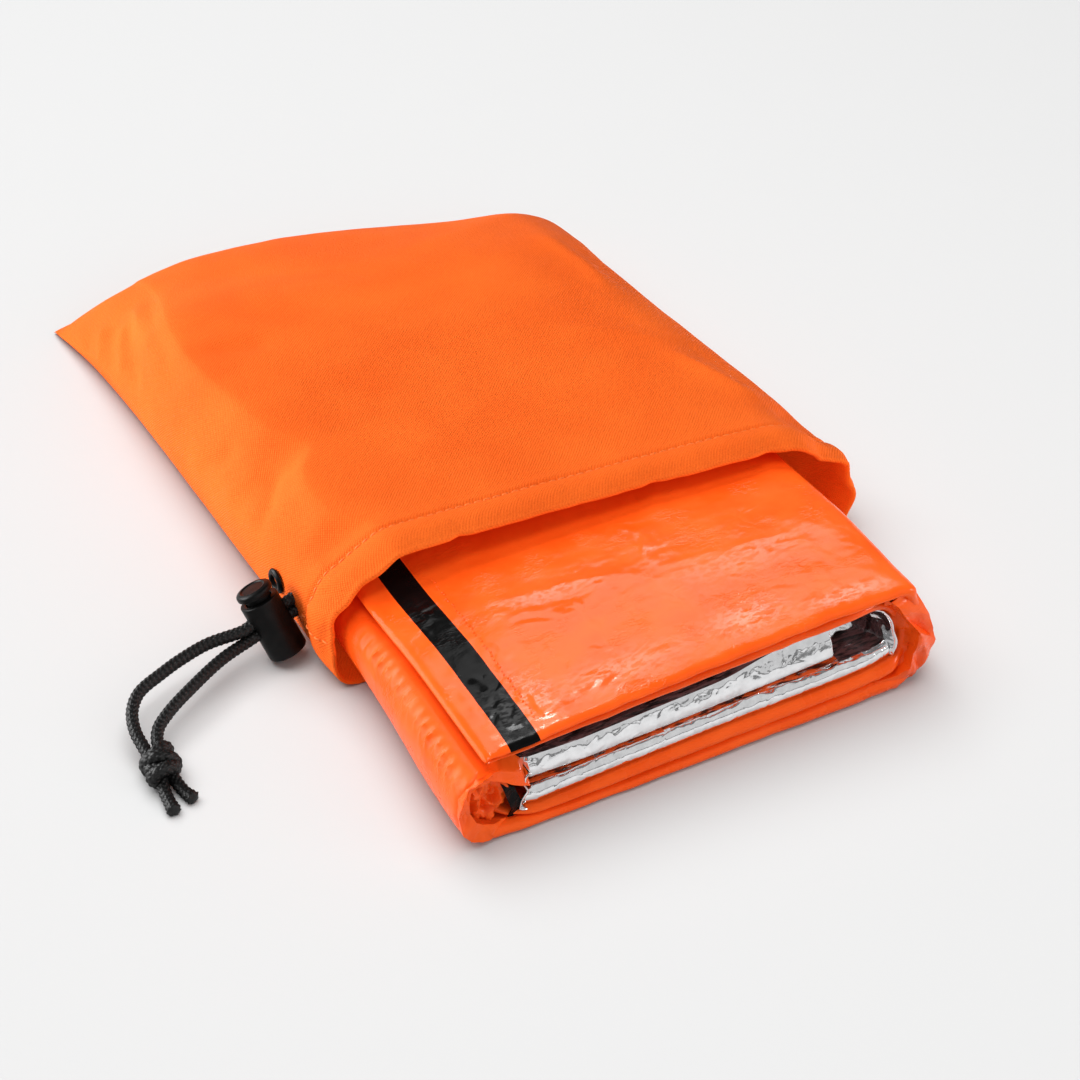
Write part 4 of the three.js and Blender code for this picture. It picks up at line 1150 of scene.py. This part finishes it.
# how it is lifted, squeezed and tucked in as it passes into the sack, and how far the flap dips there
tuckSet = {"from": -106, "to": -36, "lift": 1.6, "squeeze": 0.05, "backSqueeze": 0.11, "leftInset": 2.4,
           "dip": 3.4, "dipFrom": -74, "dipTo": -30}
# crumples of the right fold, then the roll with the short crescents along its top
creaseSet = {"outer": (11.4, 16.6), "inner": (34.5, 39.5),
             "size": 9.0, "rise": 0.8, "fade": 15.0, "behind": 3.4}
rollSet = {"inner": 40, "outer": 80, "low": 25, "high": 29,
           "crescents": 20.0, "beat": 4.4, "deep": 0.9, "long": 2.3, "wide": 0.85}
# long crinkles of the flap
flapFolds = [
    foldAlong(0.55, 2.0, (-52, -50, 33), (-41.5, -54.4, 33.4), (-23.7, -57.9, 34.7), (-5.7, -61.4, 36)),
    foldAlong(-0.4, 2.2, (-46, -60, 33.5), (-30, -64, 34.5), (-14, -66, 35.5)),
    foldAlong(0.4, 2.4, (-36, -44, 33), (-20, -50, 34), (-4, -52, 35)),
    foldAlong(0.5, 1.2, (3.5, -65.8, 36.9), (23.5, -69.1, 38), (45.6, -72.2, 38.6)),
    foldAlong(0.5, 1.1, (4, -76.7, 37.2), (18, -78.4, 38), (31.3, -78.8, 38.3)),
    foldAlong(-0.35, 2.4, (6, -58, 36), (22, -62, 37.5), (44, -64, 38)),
    foldAlong(0.45, 1.3, (11.4, -47, 35.5), (6.4, -54.8, 35.9), (2, -61, 36.2)),
    foldAlong(0.5, 1.6, (-56, -84, 33.5), (-53.5, -94, 33.8), (-52, -105, 34)),
    foldAlong(0.4, 1.6, (-53, -88, 33.5), (-48, -97, 34), (-45, -104, 34)),
    foldAlong(0.6, 2.4, (-54.4, -66, 33.4), (-51, -73, 33.8), (-48.5, -79, 34.2)),
    foldAlong(0.5, 2.6, (-44, -98, 34.5), (-26, -98.3, 35.6), (-1, -99.7, 36.9), (16, -99, 37.6)),
    foldAlong(0.45, 2.2, (40, -60, 38), (52, -68, 38.4), (60, -82, 38)),
    foldAlong(0.4, 2.0, (34, -88, 38.4), (48, -92, 38.6), (60, -98, 38)),
]
# small crinkles: middle, reach along and across, the way they run, spacing and height
flapPatches = [
    {"at": (6, -54), "reach": (7, 9), "turn": 70, "grain": 3.0, "rise": 0.42},
    {"at": (16, -98), "reach": (11, 6), "turn": 30, "grain": 2.8, "rise": 0.45},
    {"at": (46, -103.5), "reach": (14, 3.5), "turn": 75, "grain": 2.6, "rise": 0.42},
    {"at": (-52, -97), "reach": (6, 10), "turn": 100, "grain": 2.8, "rise": 0.42},
    {"at": (-26, -99), "reach": (22, 6), "turn": 20, "grain": 3.4, "rise": 0.28},
    {"at": (-26, -58), "reach": (24, 6), "turn": -12, "grain": 3.6, "rise": 0.3},
    {"at": (-61.5, -97), "reach": (5, 8), "turn": 50, "grain": 3.2, "rise": 0.45},
    {"at": (-62.5, -45), "reach": (5, 6), "turn": 10, "grain": 2.8, "rise": 0.35},
    {"at": (30, -74), "reach": (26, 8), "turn": -8, "grain": 4.2, "rise": 0.22},
]


def settled(p):  # the bag eases up, flatter and tucked in, as it passes into the sack
    t = tuckSet
    x, y, z = p[..., 0], p[..., 1], p[..., 2]
    inside = smooth(t["from"], t["to"], y)
    back = smooth(t["to"], bagSet["front"] + bagSet["length"], y)
    atRoll = smooth(rollSet["inner"], rollSet["outer"], -x) * (1 - smooth(rollSet["low"], rollSet["high"], z))
    height = 1 - t["squeeze"] * inside - t["backSqueeze"] * back
    dip = t["dip"] * smooth(t["dipFrom"], t["dipTo"], y) * smooth(8, 34, z)  # the flap sinks under the lip
    return np.stack((x + t["leftInset"] * inside * atRoll, y, z * height + t["lift"] * inside - dip), -1)


def stripPath(rows):  # middle of a folded strip with its side direction and the share along its rows
    rows = np.asarray(rows, float)
    counts = [int(r[-1]) for r in rows[:-1]]
    middle = curveThrough(rows[:, :3], counts)
    at = np.concatenate([i + np.arange(c) / c for i, c in enumerate(counts)] + [[len(counts)]])
    fine = np.gradient(middle[:, :2], axis=0)
    fine /= np.linalg.norm(fine, axis=1, keepdims=True)
    side = np.stack((-fine[:, 1], fine[:, 0]), 1)
    return middle[:, :2], side, middle[:, 2], at


def stripFaces(stations, n):  # closed strip: near edge there, far edge back, ends capped pair by pair
    faces = gridFaces(stations, 2 * n)
    last = (stations - 1) * 2 * n
    for k in range(n - 1):
        a, b = 2 * n - 1 - k, 2 * n - 2 - k
        faces += [(k, a, b, k + 1), (last + k, last + k + 1, last + b, last + a)]
    return faces


def patchReach(p, patch):  # place from a patch's middle, and how much of the patch there is
    x, y = p[..., 0] - patch["at"][0], p[..., 1] - patch["at"][1]
    return x, y, np.exp(-(x / patch["reach"][0]) ** 2 - (y / patch["reach"][1]) ** 2)


def patchLift(p, patches):
    lift = np.zeros(p.shape[:-1])
    for k, patch in enumerate(patches):
        t = math.radians(patch["turn"])
        x, y, share = patchReach(p, patch)
        run, side = x * math.cos(t) + y * math.sin(t), y * math.cos(t) - x * math.sin(t)
        grain = ripples(np.stack((run * 0.35, side, 0 * x), -1), patch["grain"], 2, 140 + k, fold=True)
        lift += patch["rise"] * share * grain
    return lift


def patchShare(p, patches):  # how much of a small crinkle there is at a place, for its gloss
    share = np.zeros(p.shape[:-1])
    highest = max(patch["rise"] for patch in patches)
    for patch in patches:
        share = np.maximum(share, patchReach(p, patch)[2] * patch["rise"] / highest)
    return share * smooth(27, 30, p[..., 2])


def filmRelief(p, run, loose, depth, onFlap, onFold):
    f, c, r = filmSet, creaseSet, rollSet
    along = p * (1, 0.5, 1)
    lean = f["broad"] * ripples(p, 30.0, 2, 61) + f["creases"] * ripples(along, 11.0, 2, 67, fold=True)
    patch = ripples(p, 24.0, 2, 73) + 0.3 * np.exp(-depth / 8.0)
    small = ripples(p, 4.5, 2, 71, fold=True) * smooth(0.05, 0.45, patch)
    lift = loose * (lean + f["small"] * small)
    folds = f["folds"] * foldLift(p, flapFolds) * smooth(2, 6, depth)
    lift -= (folds + f["patches"] * patchLift(p, flapPatches)) * onFlap
    tiny = f["tiny"] * facets(p * (0.45, 1, 1), 5.0, 2, 161)
    lift += tiny * onFlap * smooth(1, 5, depth) * smooth(-44, -62, p[..., 1])
    crumple = c["rise"] * facets(p * (1, 0.55, 1), c["size"], 2, 151)
    lift += crumple * onFold * (0.15 + np.exp(-depth / c["fade"]))
    back = run - r["crescents"]
    beat = (p[..., 1] + 0.25 * back + 0.05 * back ** 2 + 1.2 * ripples(p, 14.0, 1, 77)) / r["beat"]
    mark = np.exp(-((beat - np.round(beat)) * r["beat"] / r["wide"]) ** 2)
    uneven = np.clip(0.7 + 1.5 * ripples(p, 9.0, 2, 79), 0, 1.3)
    lift -= r["deep"] * np.exp(-(back / r["long"]) ** 2) * mark * uneven
    return lift


def rollEnd(s):  # crumpled film that fills the end of the roll
    around = 72
    u, v = np.meshgrid(np.linspace(0, 1, 34), turnOf(around), indexing="ij")
    circle = np.stack((3 * np.cos(v), 3 * np.sin(v), 0 * v), -1)
    r = s["radius"] * u * (1 + 0.07 * ripples(circle, 1.6, 2, 105) * u ** 3)  # ragged at its rim
    x, z = s["at"][0] + r * np.cos(v) * s["wide"], s["at"][1] + r * np.sin(v)
    p = np.stack((x, 0 * x, z), -1)
    rumple = facets(p, 4.2, 2, 101) + 1.1 * ripples(p, 6.0, 2, 103, fold=True)
    y = s["front"] + 1.6 * u ** 4 - s["crumple"] * rumple
    front = np.stack((x, y, z), -1)
    back = front + (0, 1.2, 0)
    rings = np.concatenate((front, back[::-1]))
    return rings, gridFaces(len(rings), around)


def creasedRim(lines, crumple):  # facets between neighbouring broken lines
    n = len(lines[0])
    points = [q for line in lines for q in line]
    faces = []
    for a in range(0, n * (len(lines) - 1), n):
        for i in range(a, a + n - 1):
            faces += [(i, i + 1, i + n), (i + 1, i + 1 + n, i + n)]
    return {"points": points, "faces": faces, "parts": 6, "thick": 0.3, "crumple": crumple}


def drawnBack(line, y, share):  # a line further back and drawn in towards its middle
    middle = np.mean(line, axis=0)
    return [(mix(q[0], middle[0], share), y, mix(q[2], middle[2], share)) for q in line]


def rollRim(s):  # the roll's rim: outer side, front and inner side
    outer = [(x, y, z) for (x, z), y in zip(s["outer"], s["stand"])]
    inner = [(x, y + s["deep"], z) for (x, z), y in zip(s["inner"], s["stand"])]
    return creasedRim([drawnBack(outer, s["back"], 0.07), outer, inner, drawnBack(inner, s["back"], 0)], 0.7)


def foldEnd(s):  # end of the right fold: outer ply, a step, and the ply inside it
    step = [(x - 0.4, y + s["step"], z - 0.3) for x, y, z in s["ridge"]]
    return creasedRim([drawnBack(s["outer"], s["back"], 0.1), s["outer"], s["ridge"], step, s["inner"],
                       drawnBack(s["inner"], s["back"], -0.05)], s["crumple"])


def creasedPatch(s):  # facets split small, crumpled a little and given a thickness
    corners, n = np.array(s["points"]), s["parts"]
    spots, small = [], []
    for face in s["faces"]:
        a, b, c = corners[list(face)]
        at = {}
        for i in range(n + 1):
            for j in range(n + 1 - i):
                at[i, j] = len(spots)
                spots.append(a + (b - a) * i / n + (c - a) * j / n)
        for i, j in at:
            if i + j < n:
                small.append((at[i, j], at[i + 1, j], at[i, j + 1]))
            if i + j < n - 1:
                small.append((at[i + 1, j], at[i + 1, j + 1], at[i, j + 1]))
    spots, again = np.unique(np.round(spots, 4), axis=0, return_inverse=True)
    again = again.ravel()
    small = [tuple(int(again[i]) for i in face) for face in small]
    spots[:, 1] += s["crumple"] * facets(spots, 3.4, 2, 175)
    count = len(spots)
    sides = {(f[k], f[(k + 1) % 3]) for f in small for k in range(3)}
    faces = small + [tuple(i + count for i in f[::-1]) for f in small]
    faces += [(b, a, a + count, b + count) for a, b in sorted(sides) if (b, a) not in sides]
    return np.concatenate((spots, spots + (0, s["thick"], 0))), faces


rollEndSet = {"at": (-74.0, 14.6), "radius": 9.0, "wide": 0.8, "front": -108.6, "crumple": 2.9}
# flattened rim of the roll: outer edge, inner edge, and how far each corner stands out
rollRimSet = {
    "outer": [(-72.4, 25.9), (-77.2, 26.0), (-80.6, 24.0), (-83.0, 20.4), (-83.6, 15.0),
              (-82.8, 8.4), (-79.8, 3.6), (-74.6, 1.5), (-67.6, 1.6)],
    "inner": [(-72.4, 22.6), (-76.4, 22.5), (-79.0, 20.9), (-80.2, 18.0), (-79.6, 14.0),
              (-78.0, 10.2), (-75.2, 7.4), (-71.4, 5.9), (-66.8, 4.0)],
    "stand": [-111.0, -112.2, -111.4, -112.6, -111.4, -112.8, -111.7, -111.6, -109.6],
    "back": -107.8, "deep": 1.2,
}
# film from the roll that is tucked in under the flap
tuckSheet = {
    "points": [(-77.6, -111.2, 26.6), (-70.6, -111.0, 22.2), (-65.8, -110.6, 18.7), (-60.2, -109.4, 14.6),
               (-70.2, -109.8, 25.2), (-62.4, -108.6, 20.8), (-72.0, -104.0, 25.6), (-67.0, -104.0, 25.8),
               (-62.8, -104.0, 23.6), (-58.6, -103.0, 18.0)],
    "faces": [(0, 1, 4), (0, 4, 6), (4, 7, 6), (1, 2, 4), (2, 5, 4),
              (4, 5, 7), (5, 8, 7), (2, 3, 5), (3, 9, 5), (5, 9, 8)],
    "parts": 6, "thick": 0.4, "crumple": 0.5,
}
# end of the black stripe, folded down beside the roll
blackEnd = {
    "points": [(-69.4, -109.2, 19.4), (-64.6, -108.2, 15.4), (-62.2, -108.4, 8.0), (-63.4, -108.6, 4.6),
               (-66.9, -109.0, 4.8), (-66.2, -109.8, 8.4), (-67.6, -110.0, 13.4)],
    "faces": [(0, 6, 1), (6, 5, 1), (1, 5, 2), (5, 4, 2), (4, 3, 2)],
    "parts": 6, "thick": 0.4, "crumple": 0.5,
}
# corners of the right fold's end: outer edge, ridge of the outer ply, edge of the inner ply
foldEndSet = {
    "outer": [(63.4, -107.4, 36.4), (67.6, -106.6, 33.2), (72.3, -108.8, 23.8), (76.2, -107.2, 11.8),
              (73.0, -109.4, 7.0), (70.6, -108.4, 2.0), (65.4, -110.0, 0.6), (58.0, -110.2, 0.5)],
    "ridge": [(57.6, -109.8, 34.6), (59.6, -110.8, 32.6), (62.8, -109.4, 27.0), (66.6, -112.6, 21.6),
              (66.8, -110.4, 13.8), (65.0, -112.2, 8.8), (61.0, -111.0, 6.2), (54.0, -110.2, 5.6)],
    "inner": [(57.0, -106.0, 31.6), (59.0, -104.6, 28.6), (62.2, -106.2, 20.6), (63.2, -104.4, 15.6),
              (63.0, -106.2, 11.6), (61.2, -106.2, 9.8), (57.0, -107.6, 9.4), (51.0, -108.4, 9.2)],
    "step": 3.4, "back": -101.0, "crumple": 0.9,
}
# a run of fine dots, each a stack of rings with their heights and widths
beadSet = {"from": (-53.6, -34.0), "to": (-55.6, -104.5), "step": 1.7, "radius": 0.36, "around": 10,
           "rings": ((-0.3, 1.0), (0.25, 0.92), (0.65, 0.62), (0.85, 0.2))}


def within(at, low, high):  # 1 between two places along the rows, eased
    return smooth(low - 1, low + 1, at) * smooth(high + 1, high - 1, at)


def filmStations(start, back):  # rows across the bag, from its crumpled front edge to its hidden end
    s = bagSet
    turnIn = s["rounding"] * (1 - np.cos(np.linspace(0, math.pi / 2, s["turnRows"])))
    shares = np.linspace(0, 1, s["seenRows"] + 1)[1:]  # even steps from the rounded edge to the hidden part
    ys = [*s["hiddenRows"]] + [back - d for d in turnIn[::-1]]
    stations = [start + d for d in turnIn] + [mix(start + s["rounding"], s["hidden"], t) for t in shares]
    return stations + [np.full(len(start), float(y)) for y in ys]


def filmRings(middle, side, half, at, run, setback, loose):
    s, f = bagSet, flapSet
    back = s["front"] + s["length"]
    onFold = within(at, *creaseSet["outer"]) + within(at, *creaseSet["inner"])
    onFlap = smooth(f["from"] - 1, f["from"] + 1, at) * smooth(f["to"], f["to"] - 1, at)
    section = np.stack((middle[:, 0], middle[:, 1], 0 * at), 1)
    waver = (0.25 + 1.5 * loose) * ripples(section, 8.0, 2, 83) + 0.5 * onFold * facets(section, 7.0, 2, 85)
    inCore = smooth(s["core"] - 1, s["core"] + 1, at)  # the roll's core is crumpled
    waver += (0.6 + 1.6 * facets(section, 5.0, 2, 87)) * inCore
    start = s["front"] + setback + waver + creaseSet["behind"] * onFold
    rings = []
    for y in filmStations(start, back):
        ahead = y - start
        depth = np.maximum(ahead, 0)
        edge = np.clip(np.minimum(ahead, back - y) / s["rounding"], 0.004, 1)
        full = half * np.sqrt(np.clip(1 - (1 - edge) ** 2, 0, 1)) ** (1 - 0.3 * onFold)
        p = np.stack((middle[:, 0], y, middle[:, 1]), 1)
        seen = 1 - smooth(-32, -22, y) * 0.8  # calmer where the sack hides it
        core = middle + side * filmRelief(p, run, loose * seen, depth, onFlap * seen, onFold * seen)[:, None]
        core[:, 1] -= f["sag"] * onFlap * np.exp(-depth / 3.2)
        near, far = core + side * full[:, None], core - side * full[:, None]
        near, far = (np.stack((q[:, 0], y, q[:, 1]), 1) for q in (near, far))
        ring = np.concatenate((near, far[::-1]))
        ring[:, 2] = np.maximum(ring[:, 2], 0.0)
        rings.append(settled(ring))
    return np.array(rings)


def filmTones(rows, at):  # 1 for the black stripe, 2 for painted shade on the lower face of the ply under the flap
    shade = np.zeros((rows, len(at)), int)
    shade[:, (at >= flapSet["stripe"][0] - 1e-6) & (at <= flapSet["stripe"][1] + 1e-6)] = 1
    below = shade.copy()
    below[5:, (at >= flapSet["under"][0]) & (at <= flapSet["under"][1])] = 2
    return np.concatenate((shade, below[:, ::-1]), 1)


def makeFilm():
    rows = np.array(filmRows)
    middle, side, half, at = stripPath(rows[:, [0, 1, 2, 5]])
    setback, loose = (np.interp(at, np.arange(len(rows)), rows[:, k]) for k in (3, 4))
    run = lengths(middle)
    rings = filmRings(middle, side, half, at, run, setback, loose)
    n = len(middle)
    shells = [(rings, stripFaces(len(rings), n), filmTones(len(rings), at)), (*rollEnd(rollEndSet), 0)]
    for patch, tone in ((foldEnd(foldEndSet), 0), (rollRim(rollRimSet), 0), (tuckSheet, 0), (blackEnd, 1)):
        shells.append((*creasedPatch(patch), tone))
    points, faces, tones = joinShells(shells)
    made = outward(addMesh("bagFilm", toFrame(points), faces, orangeFilm, 38))
    addValue(made, "crinkle", patchShare(points, flapPatches))
    setTones(made, faces, tones, blackFilm, paintedShadeFilm)
    asPiece(made, mainBody, "film", "bag_film")
    upper = (at >= flapSet["from"]) & (at <= flapSet["to"])
    top, low = rings[:, n:][:, ::-1][:, upper], rings[:, :n][:, upper]
    return made, run[-1], top if top[..., 2].mean() > low[..., 2].mean() else low


bagFilm, filmRun, flapTop = makeFilm()


def heightOn(surface, x, y):  # height of a surface of rows across the bag
    rows = np.array([np.interp(x, row[::-1, 0], row[::-1, 2]) for row in surface])
    return np.interp(y, surface[:, 0, 1], rows)


def makeBeads(s):  # fine dotted weld beside the stripe
    start, end = np.array(s["from"]), np.array(s["to"])
    count = int(np.linalg.norm(end - start) / s["step"])
    rows, around = len(s["rings"]), s["around"]
    points, faces = [], []
    for k in range(count):
        x, y = mix(start, end, k / count) + (0.25 * math.sin(k * 1.7), 0.2 * math.sin(k * 2.9))
        z = float(heightOn(flapTop, x, y))
        r = s["radius"] * (0.8 + 0.35 * abs(math.sin(k * 12.9)))
        faces += shifted(gridFaces(rows, around) + endFaces(rows, around), len(points))
        for h, w in s["rings"]:
            for a in turnOf(around):
                points.append((x + r * w * math.cos(a), y + 1.5 * r * w * math.sin(a), z + r * h))
    made = outward(addMesh("weldDots", toFrame(points), faces, orangeFilm))
    return asPiece(made, mainBody, "film")


weldDots = makeBeads(beadSet)
filmFlat = (round(filmRun * mm, 3), bagSet["length"] * mm)
print("film:", len(bagFilm.data.polygons), "faces, section run mm", round(filmRun))

# silver inside layer: section back from the front and up, then how it changes across the bag

silverRows = [
    (186, 1.35, 1, 6), (60, 1.35, 1, 10), (6.0, 1.35, 1, 4), (3.6, 1.8, 1, 4), (2.9, 3.2, 1, 5),
    (3.5, 5.2, 1, 6), (6.0, 5.9, 1, 12), (11, 6.1, 1, 6), (60, 5.5, 1, 4), (176, 5.5, 1, 3),
    (177.6, 5.7, 1, 3), (178, 6.2, 1, 3), (177.6, 6.7, 1, 3), (176, 6.9, 1, 4), (60, 6.9, 1, 6),
    (14, 7.5, 1, 8), (7.6, 8.3, 1, 6), (5.0, 9.2, 1, 8), (4.7, 11.0, 1, 8), (5.3, 13.6, 1, 8),
    (6.4, 16.0, 1, 5), (7.8, 16.9, 1, 6), (13, 17.2, 1, 8), (22, 17.2, 1, 12), (60, 15.4, 1, 4),
    (182, 14.0, 1, 1),
]
# place across, base, height of the upper folds, setback of the front and recess of the folds
silverAcross = [
    (-61.4, 4.7, 0.84, 1.6, 2), (-58, 5.1, 0.88, 0.6, 1), (-42, 6.5, 0.84, 0.2, 0), (-20, 7.5, 0.9, 0, 0),
    (0, 8.4, 0.92, 0, 0), (20, 8.9, 1.08, 0, 0), (40.5, 9.3, 1.2, 0, 0.5), (43.0, 9.4, 0.5, 0, 9),
    (53, 9.6, 0.36, 0.4, 11), (60.0, 9.9, 0.34, 1.6, 12),
]
# the paired rows are where the silver's creases are painted with a reflection of the orange plies; past the
# shadow row the silver deep under the flap is painted as shade
silverSet = {"fixed": 7.0, "half": 0.7, "paintedReflection": ((5.35, 8.0), (14.6, 16.2)), "pocket": 42.4, "paintedShadowFrom": 19.95,
             "wallHalf": 0.22, "wallStep": 0.9, "wallLean": 14.0, "width": 0.117,
             "spans": ((-61.4, -50, 18), (-49, 38, 88), (39.4, 44.4, 12), (45.2, 60.0, 20))}
# heights of its relief: waves, more of them in the grooves with creases and facets, dents, the dark pocket
foilSet = {"waves": 0.1, "grooveWaves": 0.25, "grooveCreases": 0.4, "grooveFacets": 0.45,
           "dents": 0.3, "pocket": 1.3}
# crumpled sides of the layer, at the right fold and at the left tip
silverWalls = [
    {"rows": [(55.6, 29.0, 1, 6), (58.6, 26.6, 1, 8), (61.4, 20.4, 1, 8),
              (62.4, 15.0, 1, 6), (61.6, 11.2, 1, 1)],
     "front": -108.0, "back": -80.0, "crumple": 1.5, "slant": 0.75},
    {"rows": [(-59.8, 19.0, 1, 4), (-61.0, 18.0, 1, 7), (-61.2, 15.8, 1, 6), (-60.4, 12.4, 1, 6),
              (-62.6, 8.8, 1, 6), (-63.4, 6.2, 1, 3), (-61.0, 5.8, 1, 1)],
     "front": -109.6, "back": -92.0, "crumple": 0.9, "slant": 0.0},
]


def silverRelief(p, x, y, z):  # grooves between the folds are rumpled, the upper edge is dented
    s = foilSet
    front = 1 - smooth(20, 45, y)
    groove = smooth(5.3, 5.7, z) * smooth(9.4, 8.4, z)
    long = p * (0.3, 1, 1)
    bend = front * (s["waves"] + s["grooveWaves"] * groove) * ripples(long, 9.0, 2, 91)
    sharp = s["grooveCreases"] * ripples(long, 3.0, 2, 97, fold=True)
    bend += front * groove * (sharp + s["grooveFacets"] * facets(p * (0.5, 1, 1), 3.0, 2, 95))
    dents = smooth(-0.05, 0.3, ripples(p * (0.6, 1, 1), 13.0, 2, 93))
    calm = 1 - 0.9 * smooth(12.4, 14.6, z) * smooth(14, -4, x)  # a clean fold, but for its right end
    dented = (0.05 + s["dents"] * dents) * facets(p * (0.7, 1, 1), 5.0, 2, 99)
    bend += front * smooth(8.6, 10.2, z) * calm * dented
    return bend + front * smooth(5.4, 7.4, z) * smooth(40, 45, x) * s["pocket"] * facets(p, 6.5, 2, 109)


def silverRing(x, middle, side):
    across = np.array(silverAcross)
    base, lift, setback, recess = (np.interp(x, across[:, 0], across[:, k]) for k in (1, 2, 3, 4))
    y, z = middle[:, 0], middle[:, 1]
    upper = np.maximum(0, z - silverSet["fixed"])
    inFold = smooth(5.4, 8.0, z) * (1 - smooth(40, 90, y))
    nearFront = 1 - smooth(10, 60, y)
    lean = 0.3 * smooth(2, 24, x) * np.maximum(0, z - 9.2) * nearFront
    back = y + recess * inFold + setback * nearFront + lean
    p = np.stack((0 * y + x, back, base + z - upper + upper * lift), 1)
    out = np.stack((0 * y, side[:, 0], side[:, 1]), 1)
    core = p + out * silverRelief(p, x, y, z)[:, None]
    step = out * silverSet["half"]
    ring = np.concatenate((core + step, (core - step)[::-1]))
    ring[:, 1] += bagSet["front"]
    return settled(ring)


def silverWall(wall, seed):
    line, out, _, _ = stripPath(np.array(wall["rows"]))
    half = out * silverSet["wallHalf"]
    sheets = []
    for y in np.arange(wall["front"], wall["back"], silverSet["wallStep"]):
        p = np.stack((line[:, 0], 0 * line[:, 0] + y, line[:, 1]), 1)
        core = line + out * (wall["crumple"] * facets(p * (1, 0.6, 1), 6.5, 2, 131 + seed))[:, None]
        pair = np.concatenate((core + half, (core - half)[::-1]))
        pair[:, 0] -= wall["slant"] * min(y - wall["front"], silverSet["wallLean"])
        wave = 0.9 * facets(p, 6.0, 2, 135 + seed)
        sheets.append(settled(np.stack((pair[:, 0], y + np.concatenate((wave, wave[::-1])), pair[:, 1]), 1)))
    return np.array(sheets), stripFaces(len(sheets), len(line)), 0


def silverTones(rings, xs, at):  # 1 where the creases get a painted reflection of the orange plies, 2 for painted shade in the pocket and deep under the flap
    both = np.concatenate((at, at[::-1]))
    inReflectionRows = sum((both >= low) & (both <= high) for low, high in silverSet["paintedReflection"]) > 0
    inPocket = (xs > silverSet["pocket"])[:, None]
    streaks = (ripples(rings * (0.25, 1, 1), 1.3, 2, 113) > -0.5) | inPocket
    paintedReflection = streaks & inReflectionRows
    return np.where((both > silverSet["paintedShadowFrom"]) | inPocket & paintedReflection, 2, paintedReflection.astype(int))


def makeSilver():
    middle, side, _, at = stripPath(np.array(silverRows))
    xs = np.concatenate([np.linspace(*span) for span in silverSet["spans"]])
    rings = np.array([silverRing(x, middle, side) for x in xs])
    shells = [(rings, stripFaces(len(rings), len(middle)), silverTones(rings, xs, at))]
    shells += [silverWall(wall, k) for k, wall in enumerate(silverWalls)]
    points, faces, tones = joinShells(shells)
    made = outward(addMesh("silverInner", toFrame(points), faces, silverFilm))
    setTones(made, faces, tones, paintedGrooveReflection, paintedShadowFoil)
    return asPiece(made, mainBody, "silver_film", "silver_inner"), lengths(middle)[-1]


silverInner, silverRun = makeSilver()
silverFlat = (silverSet["width"], round(silverRun * mm, 3))
print("silver:", len(silverInner.data.polygons), "faces")
